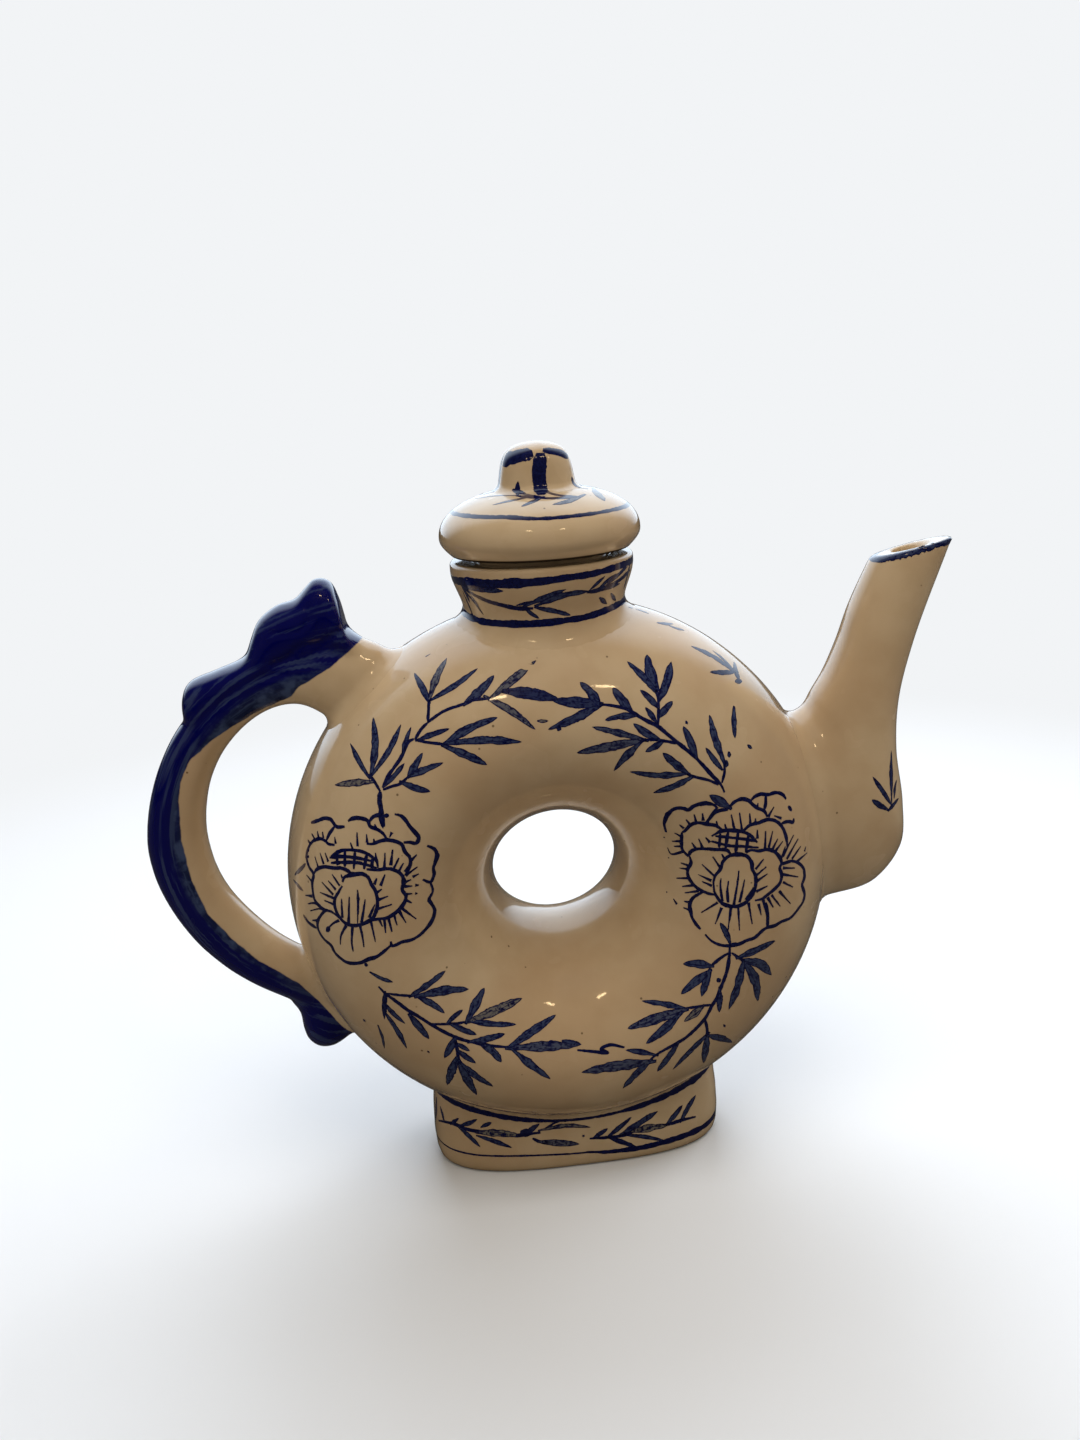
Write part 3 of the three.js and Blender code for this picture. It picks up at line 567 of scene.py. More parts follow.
# Where the handle's cobalt ends, as x and height on its side
HANDLE_COLOUR_EDGE = [
    (-44.6, 154), (-45.3, 151.8), (-45.7, 150.1), (-46.3, 148.9), (-48.7, 147.6), (-51.6, 145.3),
    (-54.5, 143.5), (-59.7, 140.7), (-62.4, 139.4), (-64.9, 136.8), (-66.9, 135.9), (-73.4, 133.4),
    (-79.4, 130.6), (-85.5, 127.3), (-91.6, 122.6), (-94.5, 117.6), (-95.8, 112), (-96.7, 101.6),
    (-95.8, 90.4), (-93.1, 81), (-88, 73.2), (-81.7, 66), (-77, 62.2), (-72.2, 58.3),
    (-67.6, 52.3), (-63.1, 45.1), (-60.7, 41.7), (-57, 36), (-54, 31),
]
CREST_GROOVES = [
    (0.55, 1.5, (1225, 415), (1100, 490), (960, 530), (900, 580), (810, 625)),
    (0.35, 1.2, (790, 445), (900, 440), (980, 415), (1020, 350), (1010, 290)),
    (0.3, 1.3, (880, 690), (700, 715), (560, 790), (480, 870)),
]

# Kinds of node that come back often, and how two of them are set
PLACE = "ShaderNodeTexCoord"
NOISE = "ShaderNodeTexNoise"
RANGE = "ShaderNodeMapRange"
MIX = "ShaderNodeMix"
MATH = "ShaderNodeMath"
VECTORS = "ShaderNodeVectorMath"
AXES = "ShaderNodeSeparateXYZ"
KEPT = "ShaderNodeAttribute"
SMOOTH = {"interpolation_type": "SMOOTHSTEP"}
COLOURS = {"data_type": "RGBA"}


# Camera
def camera_axes():
    """The camera's right, up and forward directions."""
    forward = Vector((
        math.sin(CAMERA_TURN) * math.cos(CAMERA_DIP),
        math.cos(CAMERA_TURN) * math.cos(CAMERA_DIP),
        -math.sin(CAMERA_DIP),
    ))
    level = Vector((math.cos(CAMERA_TURN), -math.sin(CAMERA_TURN), 0))
    upright = level.cross(forward)
    right = level * math.cos(CAMERA_ROLL) - upright * math.sin(CAMERA_ROLL)
    up = level * math.sin(CAMERA_ROLL) + upright * math.cos(CAMERA_ROLL)
    return right, up, forward


def make_camera():
    right, up, forward = camera_axes()
    data = bpy.data.cameras.new("camera")
    data.sensor_width = SENSOR
    data.lens = SENSOR * FOCAL_PIXELS / max(PICTURE)
    data.clip_start = 0.01
    camera = bpy.data.objects.new("camera", data)
    camera.matrix_world = Matrix((right, up, -forward)).transposed().to_4x4()
    camera.location = CAMERA_PLACE
    bpy.context.scene.collection.objects.link(camera)
    bpy.context.scene.camera = camera


# Modelling
def deselect():
    if bpy.context.object and bpy.context.object.mode != "OBJECT":
        bpy.ops.object.mode_set(mode="OBJECT")
    bpy.ops.object.select_all(action="DESELECT")


def section_loop(name, points):
    """A circle of vertices laid on the points, left in edit mode with all of it selected."""
    deselect()
    bpy.ops.mesh.primitive_circle_add(vertices=len(points), radius=MM)
    piece = bpy.context.object
    piece.name = piece.data.name = name
    for vertex, point in zip(piece.data.vertices, points):
        vertex.co = Vector(point) * MM
    bpy.ops.object.mode_set(mode="EDIT")
    bpy.ops.mesh.select_all(action="SELECT")
    return piece


def finish_skin(piece):
    """Closes seams, turns every face outwards and leaves edit mode."""
    bpy.ops.mesh.select_all(action="SELECT")
    bpy.ops.mesh.remove_doubles(threshold=0.002 * MM)
    bpy.ops.mesh.delete_loose(use_verts=True, use_edges=True, use_faces=False)
    bpy.ops.mesh.select_all(action="SELECT")
    bpy.ops.mesh.normals_make_consistent(inside=False)
    bpy.ops.object.mode_set(mode="OBJECT")
    bpy.ops.object.shade_smooth()
    return piece


def turned(name, outline, steps, axis=UP):
    """A closed outline of (radius, height) spun about an axis through the origin."""
    across = Vector((1, 0, 0))
    piece = section_loop(name, [across * radius + axis * height for radius, height in outline])
    bpy.ops.mesh.spin(steps=steps, angle=math.tau, center=(0, 0, 0), axis=axis)
    return finish_skin(piece)


def lofted(name, sections, wraps=False):
    """A skin over sections of equal length. It closes on itself if it wraps, and otherwise has ends."""
    piece = section_loop(name, sections[0])
    if not wraps:
        bpy.ops.mesh.edge_face_add()
    for section in sections[1:]:
        bpy.ops.mesh.extrude_region_move()
        lay_selected(piece, section)
    if wraps:
        bpy.ops.mesh.extrude_region_move()
        lay_selected(piece, sections[0])
    return finish_skin(piece)


def lay_selected(piece, points):
    mesh = bmesh.from_edit_mesh(piece.data)
    picked = [vertex for vertex in mesh.verts if vertex.select]
    for vertex, point in zip(picked, points):
        vertex.co = Vector(point) * MM
    bmesh.update_edit_mesh(piece.data)


def applied(piece, kind, **settings):
    """Adds a modifier with its settings and applies it."""
    bpy.context.view_layer.objects.active = piece
    modifier = piece.modifiers.new(kind.lower(), kind)
    for key, value in settings.items():
        setattr(modifier, key, value)
    bpy.ops.object.modifier_apply(modifier=modifier.name)
    return piece


def joined(name, pieces):
    deselect()
    for piece in pieces:
        piece.select_set(True)
    bpy.context.view_layer.objects.active = pieces[0]
    bpy.ops.object.join()
    pieces[0].name = pieces[0].data.name = name
    return pieces[0]


def cut(piece, cutter):
    """Takes the cutter out of the piece and deletes it."""
    applied(piece, "BOOLEAN", operation="DIFFERENCE", object=cutter, solver="EXACT")
    bpy.data.objects.remove(cutter)
    return piece


def shift(piece, x=0, y=0, z=0):
    piece.data.transform(Matrix.Translation(Vector((x, y, z)) * MM))
    return piece


def skin_of(*pieces, shows=lambda piece, face: True):
    """A search tree over the faces that show of finished pieces, whose objects all sit at the origin."""
    corners = []
    faces = []
    for piece in pieces:
        first = len(corners)
        corners += [vertex.co.copy() for vertex in piece.data.vertices]
        for face in piece.data.polygons:
            if shows(piece, face):
                faces.append([first + index for index in face.vertices])
    return BVHTree.FromPolygons(corners, faces)


def outer_skin(*pieces):
    """A search tree over what still shows of pieces that are luted together."""
    skins = [(piece, skin_of(piece)) for piece in pieces]

    def shows(piece, face):
        return not any(buried(skin, face.center) for other, skin in skins if other != piece)

    return skin_of(*pieces, shows=shows)


def height_over(skin, point):
    """Signed distance in mm from a skin, with the nearest place on it and its outward direction."""
    place, normal, _, _ = skin.find_nearest(point)
    return (point - place).dot(normal) / MM, place, normal


def buried(skin, point):
    """Whether a point lies just under a skin."""
    height, place, _ = height_over(skin, point)
    return height < 0 and (point - place).length < LUTED_DEPTH * MM


def luted(piece, skin, fillet, sink=1.6):
    """Spreads the foot of a piece into a fillet on the skin, and ends what lies deeper inside the wall."""
    directions = [vertex.normal.copy() for vertex in piece.data.vertices]
    for vertex, outward in zip(piece.data.vertices, directions):
        height, place, normal = height_over(skin, vertex.co)
        if height >= fillet:
            continue
        if height < -sink:
            vertex.co = vertex.co + normal * (-sink - height) * MM
            height = -sink
        along = outward - normal * outward.dot(normal)
        if along.length < 0.2:
            continue
        if height >= 0:
            spread = fillet - math.sqrt(fillet ** 2 - (fillet - height) ** 2)
        else:
            spread = fillet + min(-height * 5, 1.5)
        vertex.co = vertex.co + along.normalized() * spread * MM
        over, _, facing = height_over(skin, vertex.co)
        kept = height if height >= 0 else min(height, -LUTED_LEAST)
        vertex.co = vertex.co + facing * (kept - over) * MM
    piece.data.update()
    return piece


def superellipse(turn, squareness):
    angle = turn * math.tau
    power = 2 / squareness
    cosine, sine = math.cos(angle), math.sin(angle)
    return (
        math.copysign(abs(cosine) ** power, cosine),
        math.copysign(abs(sine) ** power, sine),
    )


def oval(centre, across, half_depth, squareness, around):
    """Points round a section whose width lies along across and whose depth lies along Y."""
    points = []
    for step in range(around):
        wide, deep = superellipse(step / around, squareness)
        points.append(centre + across * wide + Vector((0, half_depth * deep, 0)))
    return points


def beyond_ring(angle, reach):
    radians = math.radians(angle)
    distance = RING_RADIUS + reach
    return Vector((distance * math.cos(radians), 0, RING_CENTRE + distance * math.sin(radians)))


def catmull(points, share, centripetal=True):
    """A place on a smooth curve through the points, with share from 0 to 1."""
    count = len(points)
    place = min(share, 1 - 1e-9) * (count - 1)
    index = int(place)
    weight = place - index
    p1, p2 = points[index], points[index + 1]
    p0 = points[index - 1] if index > 0 else p1 * 2 - p2
    p3 = points[index + 2] if index + 2 < count else p2 * 2 - p1
    power = 0.25 if centripetal else 0
    d0 = max((p1 - p0).length_squared ** power, 1e-6) if centripetal else 1
    d1 = max((p2 - p1).length_squared ** power, 1e-6) if centripetal else 1
    d2 = max((p3 - p2).length_squared ** power, 1e-6) if centripetal else 1
    t1 = ((p1 - p0) / d0 - (p2 - p0) / (d0 + d1) + (p2 - p1) / d1) * d1
    t2 = ((p2 - p1) / d1 - (p3 - p1) / (d1 + d2) + (p3 - p2) / d2) * d1
    c2 = p1 * -3 + p2 * 3 - t1 * 2 - t2
    c3 = p1 * 2 - p2 * 2 + t1 + t2
    return p1 + t1 * weight + c2 * weight ** 2 + c3 * weight ** 3


def station_edges(stations, share):
    """The inner and the outer edge of a swept piece at a share of its length."""
    return [catmull([beyond_ring(*row[side:side + 2]) for row in stations], share) for side in (0, 2)]


def station_section(stations, share, squareness, around, side_wall=0, end_wall=0):
    inner, outer = station_edges(stations, share)
    depth = catmull([Vector((row[4], 0, 0)) for row in stations], share, centripetal=False).x
    across = (outer - inner) / 2
    across = across.normalized() * (across.length - end_wall)
    return oval((inner + outer) / 2, across, depth - side_wall, squareness, around)


def station_tube(name, stations, squareness, rows, around, grow=0):
    return lofted(name, [
        station_section(stations, row / rows, squareness, around, -grow, -grow) for row in range(rows + 1)
    ])


# Ring
def ring_outline(inset, points):
    middle = (RING_RADIUS + THROAT_RADIUS) / 2
    half_thickness = (RING_RADIUS - THROAT_RADIUS) / 2 - inset
    outline = []
    for step in range(points):
        wide, deep = superellipse(step / points, BODY_ROUNDNESS)
        outline.append((middle + wide * half_thickness, deep * (BODY_DEPTH / 2 - inset)))
    return outline


def drift_throat(piece):
    for vertex in piece.data.vertices:
        radius = math.hypot(vertex.co.x, vertex.co.z) / MM
        share = (RING_RADIUS - radius) / (RING_RADIUS - THROAT_RADIUS)
        vertex.co += THROAT_DRIFT * min(max(share, 0), 1) * MM


def worked_by_hand(piece, depth, reach):
    """Presses the skin in by up to depth, in slow swells of the given reach, as a hand-finished wall is."""
    normals = [vertex.normal.copy() for vertex in piece.data.vertices]
    for vertex, normal in zip(piece.data.vertices, normals):
        swell = noise.noise(vertex.co / (reach * MM)) * 0.4 + 0.6
        vertex.co -= normal * depth * swell * MM
    piece.data.update()


def make_ring():
    ring = turned("ring_body", ring_outline(RING_INSET, points=128), steps=256, axis=BACK)
    chamber = turned("chamber", ring_outline(BODY_WALL, points=48), steps=96, axis=BACK)
    for piece in (ring, chamber):
        drift_throat(piece)
        shift(piece, z=RING_CENTRE)
    worked_by_hand(ring, *RING_SWELLS)
    skin = skin_of(ring)
    cut(ring, chamber)
    deselect()
    bpy.ops.mesh.primitive_cylinder_add(
        vertices=72, radius=NECK_BORE * MM, depth=FILLING_HOLE_DEPTH * MM,
        location=(0, 0, (RING_CENTRE + RING_RADIUS) * MM),
    )
    cut(ring, bpy.context.object)
    return ring, skin


def make_foot(skin):
    def level(height, drawn_in):
        centre = Vector((0, 0, height))
        across = Vector((FOOT_LENGTH / 2 - drawn_in, 0, 0))
        return oval(centre, across, FOOT_DEPTH / 2 - drawn_in, FOOT_SQUARENESS, around=120)

    low, high, rise = FOOT_CHAMFER
    outer = [level(height, drawn_in_at(height)) for height in FOOT_ROWS]
    hollow_rows = [height for height in FOOT_ROWS if height > FOOT_HOLLOW_START]
    inner = [level(height, drawn_in_at(height) + FOOT_WALL) for height in hollow_rows]
    base = [level(0, drawn_in_at(0) + FOOT_WALL - low), level(rise, drawn_in_at(0) + FOOT_WALL - high)]
    foot = lofted("foot", list(reversed(outer)) + base + inner, wraps=True)
    return luted(foot, skin, FOOT_FILLET)


def drawn_in_at(height):
    for (low, low_in), (high, high_in) in zip(FOOT_LEVELS, FOOT_LEVELS[1:]):
        if height <= high:
            share = (height - low) / (high - low)
            return low_in + (high_in - low_in) * share
    return FOOT_LEVELS[-1][1]


def smooth(share):
    share = min(max(share, 0), 1)
    return share * share * (3 - 2 * share)


def arc(centre, radius, start, stop, steps):
    """Points on an arc, with angles in degrees from the outward direction."""
    points = []
    for step in range(steps + 1):
        angle = math.radians(start + (stop - start) * step / steps)
        points.append((centre[0] + radius * math.cos(angle), centre[1] + radius * math.sin(angle)))
    return points


def make_neck(skin):
    outline = []
    steps = 44
    for step in range(steps + 1):
        height = -NECK_ROOT + (NECK_HEIGHT - RIM_ROUND + NECK_ROOT) * step / steps
        swell = smooth((height + NECK_WAIST_DROP) / (NECK_HEIGHT - NECK_LIP + NECK_WAIST_DROP))
        outline.append((NECK_WAIST_RADIUS + (NECK_RIM_RADIUS - NECK_WAIST_RADIUS) * swell, height))
    outline += arc((NECK_RIM_RADIUS - RIM_ROUND, NECK_HEIGHT - RIM_ROUND), RIM_ROUND, 12, 90, steps=6)
    outline += arc((NECK_BORE + BORE_ROUND, NECK_HEIGHT - BORE_ROUND), BORE_ROUND, 90, 180, steps=5)
    outline += [(NECK_BORE, NECK_HEIGHT - drop) for drop in BORE_DROPS]
    neck = turned("neck", outline, steps=144)
    shift(neck, z=RING_CENTRE + RING_RADIUS)
    return luted(neck, skin, NECK_FILLET)


def make_spout(skin):
    rows = 120
    around = 72
    first_bore_row = 8
    outer = [station_section(SPOUT_STATIONS, row / rows, SPOUT_SQUARENESS, around) for row in range(rows + 1)]
    bore = []
    for row in range(first_bore_row, rows + 1, 4):
        share = row / rows
        end_wall = SPOUT_WALL + (SPOUT_LIP - SPOUT_WALL) * share
        bore.append(station_section(SPOUT_STATIONS, share, 2, around, SPOUT_WALL, end_wall))
    lip = spout_lip(outer, bore[-1])
    spout = lofted("spout_glazed", outer[:-2] + lip + list(reversed(bore[:-1])), wraps=True)
    return luted(spout, skin, SPOUT_FILLET)


def spout_lip(outer, inside):
    """Sections that roll over the slanted mouth, from the outer skin into the bore."""
    outside = outer[-1]
    run = ((sum(outside, Vector()) - sum(outer[-4], Vector())) / len(outside)).normalized()
    sections = []
    for across, rise in SPOUT_ROLL:
        section = [out.lerp(into, across) + run * rise for out, into in zip(outside, inside)]
        sections.append([point - run * point.y * SPOUT_TILT / SPOUT_STATIONS[-1][4] for point in section])
    return sections


# Handle
def make_handle(skin):
    strap = station_tube("strap", HANDLE_STATIONS, HANDLE_SQUARENESS, rows=110, around=48)
    crest = station_tube("crest", CREST_STATIONS, ORNAMENT_SQUARENESS, rows=90, around=40, grow=CREST_GROW)
    scroll = station_tube("scroll", SCROLL_STATIONS, ORNAMENT_SQUARENESS, rows=50, around=40)
    handle = joined("handle", [strap, crest, scroll])
    applied(handle, "REMESH", mode="VOXEL", voxel_size=HANDLE_VOXEL * MM, adaptivity=0)
    applied(handle, "SMOOTH", factor=0.5, iterations=8)
    worked_by_hand(handle, *HANDLE_SWELLS)
    luted(handle, skin, HANDLE_FILLET)
    handle_skin = skin_of(handle)
    for depth, breadth, *points in CREST_GROOVES:
        pressed(handle, handle_skin, SHEET_HANDLE, depth, breadth, points)
    mark_colour_edge(handle)
    bpy.ops.object.shade_smooth()
    return handle


# Lid
def dome_rise(radius):
    share = max(1 - (radius / LID_RADIUS) ** LID_DOME_SQUARENESS, 0)
    return LID_DOME_RISE * share ** (1 / LID_DOME_SQUARENESS)


def make_lid_cap():
    hollow = FLANGE_RADIUS - FLANGE_WALL - FLANGE_MARGIN
    outline = [(hollow, 0), (18, 0), (LID_SEAT_RADIUS - LID_SEAT_MARGIN, 0)]
    outline += arc((LID_SEAT_RADIUS - LID_SEAT_ROUND, LID_SEAT_ROUND), LID_SEAT_ROUND, -90, -40, steps=4)
    side_steps = 7
    for step in range(1, side_steps):
        share = step / side_steps
        radius = LID_SEAT_RADIUS + (LID_RADIUS - LID_SEAT_RADIUS) * math.sin(share * math.pi / 2)
        outline.append((radius, LID_SEAT_RISE + (LID_EDGE_HEIGHT - LID_SEAT_RISE) * share))
    steps = 40
    for step in range(steps + 1):
        radius = LID_RADIUS * math.cos(math.radians(LID_DOME_SWEEP * step / steps))
        outline.append((radius, LID_EDGE_HEIGHT + dome_rise(radius)))
    top = LID_EDGE_HEIGHT + dome_rise(0)
    outline.append((0, top))
    outline += [(reach, top - LID_WALL - drop) for reach, drop in LID_CEILING] + [(hollow, LID_HOLLOW_EDGE)]
    cap = turned("lid_dome", outline, steps=144)
    return shift(cap, z=LID_SEAT)


def make_lid_flange():
    inside = FLANGE_RADIUS - FLANGE_WALL
    low = FLANGE_ROUND - FLANGE_DEPTH
    outline = [(FLANGE_RADIUS, FLANGE_OVERLAP), (FLANGE_RADIUS, FLANGE_ROW)]
    outline += arc((FLANGE_RADIUS - FLANGE_ROUND, low), FLANGE_ROUND, 0, -90, steps=6)
    outline += arc((inside + FLANGE_ROUND, low), FLANGE_ROUND, -90, -180, steps=6)
    outline += [(inside, FLANGE_ROW), (inside, FLANGE_OVERLAP)]
    flange = turned("lid_flange_ring", outline, steps=120)
    return shift(flange, z=LID_SEAT)


def make_lid_knob(skin):
    seat = LID_SEAT + LID_EDGE_HEIGHT + dome_rise(KNOB_RADIUS)
    around = 112
    rows = 64
    sections = []
    levels = [Vector((height, width, 0)) for height, width in KNOB_LEVELS]
    for row in range(rows + 1):
        level = catmull(levels, row / rows)
        points = []
        for step in range(around):
            angle = math.tau * step / around
            near_groove = abs(math.cos(angle * KNOB_LOBES / 2)) ** KNOB_GROOVE_SHARPNESS
            radius = KNOB_RADIUS * level.y * (1 - KNOB_GROOVE * near_groove)
            height = seat + (KNOB_TOP - seat) * level.x
            points.append(Vector((radius * math.cos(angle), radius * math.sin(angle), height)))
        sections.append(points)
    knob = lofted("lid_bud", sections)
    return luted(knob, skin, KNOB_FILLET, sink=1.0)


# Brushwork
def sight(sheet, place):
    """The direction from the camera through a place on a sheet."""
    left, top, units = sheet
    right, up, forward = camera_axes()
    across = (left + place[0] / units - PICTURE[0] / 2) / FOCAL_PIXELS
    down = (top + place[1] / units - PICTURE[1] / 2) / FOCAL_PIXELS
    return (forward + right * across - up * down).normalized()


def sheet_mm(sheet, units):
    return units / sheet[2] / PIXELS_PER_MM


def laid(skin, sheet, points):
    """A smooth line through a sheet's points, laid on the skin where the camera sees it."""
    guides = [Vector((x, y, 0)) for x, y in points]
    length = sheet_mm(sheet, sum((b - a).length for a, b in zip(guides, guides[1:])))
    steps = max(round(length / BRUSH_STEP), 2)
    seen = [skin.ray_cast(Vector(CAMERA_PLACE), sight(sheet, catmull(guides, index / steps)))[0]
            for index in range(steps + 1)]
    return [place for place in seen if place]


def stroke(places, width, swell, thin):
    """A stroke as its places, its half width at each and how thin its colour is."""
    last = max(len(places) - 1, 1)
    halves = [max(width / 2 * swell(index / last), LEAST_HALF) for index in range(len(places))]
    return places, halves, thin, False


def leaf_swell(share):
    return min(0.3 + 1.7 * share, 0.92) * max(1 - share ** 4, 0) ** 0.7


def stem_swell(share):
    return min(1.45, 0.8 + 4 * min(share, 1 - share))


def vein_swell(share):
    return 1 - 0.6 * share


def leaf_strokes(skin, sheet, leaves):
    strokes = []
    for base_x, base_y, tip_x, tip_y, width, thin, *bow in leaves:
        swing = bow[0] if bow else noise.noise(Vector((base_x, tip_y, width)) / 37) * 0.1
        middle = (
            (base_x + tip_x) / 2 + (base_y - tip_y) * swing,
            (base_y + tip_y) / 2 + (tip_x - base_x) * swing,
        )
        root = (base_x * 1.1 - tip_x * 0.1, base_y * 1.1 - tip_y * 0.1)
        places = laid(skin, sheet, [root, middle, (tip_x, tip_y)])
        if len(places) > 2:
            strokes.append(stroke(places, sheet_mm(sheet, width), leaf_swell, thin))
    return strokes


def line_strokes(skin, sheet, lines, width, swell=stem_swell):
    strokes = [stroke(laid(skin, sheet, line), width, swell, 0) for line in lines]
    return [found for found in strokes if len(found[0]) > 2]


def stem_strokes(skin, sheet, stems):
    strokes = []
    for width, *points in stems:
        strokes += line_strokes(skin, sheet, [points], sheet_mm(sheet, width))
    return strokes


def spray_strokes(skin, sheet, stems, leaves):
    return stem_strokes(skin, sheet, stems) + leaf_strokes(skin, sheet, leaves)


def lowered(column, row):
    """A place on the foot's sheet, moved down to clear the joint with the belly."""
    share = min(max((FOOT_STILL_ROW - row) / (FOOT_STILL_ROW - FOOT_JOINT_ROW), 0), 1)
    return column, row + along_table(FOOT_LOWERED, column)[0] * share


def foot_strokes(skin):
    stems = [(width, *[lowered(*place) for place in places]) for width, *places in STEMS_FOOT]
    leaves = [(*lowered(*row[:2]), *lowered(*row[2:4]), *row[4:]) for row in LEAVES_FOOT]
    return spray_strokes(skin, SHEET_FOOT, stems, leaves)


def peony_strokes(skin, sheet, petals, bold, net, veins, dabs):
    return (
        line_strokes(skin, sheet, petals, PETAL_LINE)
        + line_strokes(skin, sheet, bold, BOLD_LINE, leaf_swell)
        + line_strokes(skin, sheet, net, NET_LINE)
        + line_strokes(skin, sheet, veins, VEIN_LINE, vein_swell)
        + leaf_strokes(skin, sheet, dabs)
    )


def wreath_strokes(skin):
    strokes = []
    for sheet, *lines in (
        (SHEET_RIGHT_PEONY, RIGHT_PETALS, RIGHT_BOLD, RIGHT_NET, RIGHT_VEINS, RIGHT_DOTS),
        (SHEET_LEFT_PEONY, LEFT_PETALS, LEFT_BOLD, LEFT_NET, LEFT_VEINS, LEFT_LEAVES),
    ):
        strokes += peony_strokes(skin, sheet, *lines)
    for sheet, stems, leaves in (
        (SHEET_UPPER_LEFT, STEMS_UPPER_LEFT, LEAVES_UPPER_LEFT),
        (SHEET_UPPER_RIGHT, STEMS_UPPER_RIGHT, LEAVES_UPPER_RIGHT),
        (SHEET_LOWER_LEFT, STEMS_LOWER_LEFT, LEAVES_LOWER_LEFT),
        (SHEET_LOWER_RIGHT, STEMS_LOWER_RIGHT, LEAVES_LOWER_RIGHT),
    ):
        strokes += spray_strokes(skin, sheet, stems, leaves)
    return strokes


def moved(strokes, turn=0, flip=1):
    """The same strokes turned about the upright axis, or flipped from front to back."""
    change = Matrix.Rotation(math.radians(turn), 3, "Z") @ Matrix.Diagonal((1, flip, 1))
    return [([change @ place for place in places], halves, thin, closed)
            for places, halves, thin, closed in strokes]


def along_table(table, share):
    """Values between the rows of a table whose first column is the share."""
    for low, high in zip(table, table[1:]):
        if share <= high[0]:
            weight = smooth((share - low[0]) / (high[0] - low[0]))
            return [a + (b - a) * weight for a, b in zip(low[1:], high[1:])]
    return table[-1][1:]


def from_axis(degrees):
    """The level direction away from the upright axis, with the front at 270 degrees."""
    return Vector((math.cos(math.radians(degrees)), math.sin(math.radians(degrees)), 0))


def band_stroke(skin, line, start):
    """A closed band round the upright axis, found on the skin by looking in from the start radius."""
    table = line + [(360, *line[0][1:])]
    places = []
    halves = []
    for degrees in range(360):
        height, width = along_table(table, degrees)
        out = from_axis(degrees)
        places.append(skin.ray_cast(out * start * MM + UP * height * MM, -out)[0])
        halves.append(width / 2)
    return places, halves, 0, True


def joint_stroke(foot_skin, belly_skin):
    """The band where the foot meets the belly."""
    places = []
    halves = []
    highest, lowest = JOINT_HEIGHTS
    for degrees in range(360):
        out = from_axis(degrees)
        height = highest
        while height > lowest:
            place = foot_skin.ray_cast(out * JOINT_LOOK_IN * MM + UP * height * MM, -out)[0]
            if place and height_over(belly_skin, place)[0] > JOINT_CLEARANCE:
                break
            height -= JOINT_STEP
        places.append(place)
        halves.append(along_table(FOOT_JOINT_LINE, place.x / MM / FOOT_LENGTH + 0.5)[0] / 2)
    return places, halves, 0, True


def lip_stroke(skin):
    """The band over the spout's lip, broadest on the side towards the pot."""
    half, gain = LIP_LINE
    mouth = station_section(SPOUT_STATIONS, 1, SPOUT_SQUARENESS, around=160)
    places = []
    halves = []
    for index, point in enumerate(mouth):
        places.append(skin.find_nearest((point + UP * 0.5) * MM)[0])
        halves.append(half - gain * math.cos(math.tau * index / len(mouth)))
    return places, halves, LIP_THIN, True


def outermost(skin, point, outward):
    """The place on the skin under a point, seen from just outside, and its direction there."""
    spot, out, _, away = skin.ray_cast(point + outward * SIGHT_RISE * MM, -outward)
    if spot is None or away > 2 * SIGHT_RISE * MM:
        spot, out, _, _ = skin.find_nearest(point)
    return spot, out


def brushed(name, strokes, skin, under, columns=2):
    """Lays strokes on the skin as thin closed strips, shaded as one with the glaze under them."""
    nick, nick_share = RAGGED
    swell, swell_share = UNEVEN
    corners = []
    faces = []
    brush = []
    thins = []
    for number, (places, halves, thin, closed) in enumerate(strokes):
        first = len(corners)
        rows = len(places)
        own = Vector((number, 0, 0))
        along = [0]
        for before, after in zip(places, places[1:]):
            along.append(along[-1] + (after - before).length / MM)
        for row, (place, half) in enumerate(zip(places, halves)):
            ahead = places[(row + 1) % rows] if closed else places[min(row + 1, rows - 1)]
            behind = places[row - 1] if closed or row > 0 else places[0]
            normal = skin.find_nearest(place)[1]
            side = normal.cross(ahead - behind).normalized()
            end_gap = CLOSED_GAP if closed else min(along[row], along[-1] - along[row])
            for column in range(columns + 1):
                share = column / columns * 2 - 1
                ragged = noise.noise(place / (nick * MM) + side * share * 3 + own) * nick_share
                uneven = 1 + ragged + noise.noise(place / (swell * MM) + own) * swell_share
                nick_depth = ragged * 0.5 if abs(share) == 1 and half > NICKED_HALF else 0
                reach = half * share * uneven + nick_depth
                spot, out = outermost(skin, place + side * reach * MM, normal)
                corners.append(spot + out * BRUSH_PROUD * MM)
                inset = min(half * (1 - abs(share)), end_gap)
                brush += [along[row] + number * STROKE_APART, half * share, inset]
                thins.append(thin)
        for row in range(rows if closed else rows - 1):
            for column in range(columns):
                a = first + row * (columns + 1) + column
                d = first + (row + 1) % rows * (columns + 1) + column
                faces.append((a, d, d + 1, a + 1))
    mesh = bpy.data.meshes.new(name)
    mesh.from_pydata(corners, [], faces)
    mesh.attributes.new("brush", "FLOAT_VECTOR", "POINT").data.foreach_set("vector", brush)
    mesh.attributes.new("thin", "FLOAT", "POINT").data.foreach_set("value", thins)
    piece = bpy.data.objects.new(name, mesh)
    bpy.context.scene.collection.objects.link(piece)
    deselect()
    piece.select_set(True)
    bpy.context.view_layer.objects.active = piece
    bpy.ops.object.shade_smooth()
    applied(piece, "SOLIDIFY", thickness=(BRUSH_PROUD + BRUSH_SUNK) * MM, offset=-1, use_rim=True)
    applied(piece, "DATA_TRANSFER", object=under, use_loop_data=True,
            data_types_loops={"CUSTOM_NORMAL"}, loop_mapping="POLYINTERP_NEAREST")
    return piece


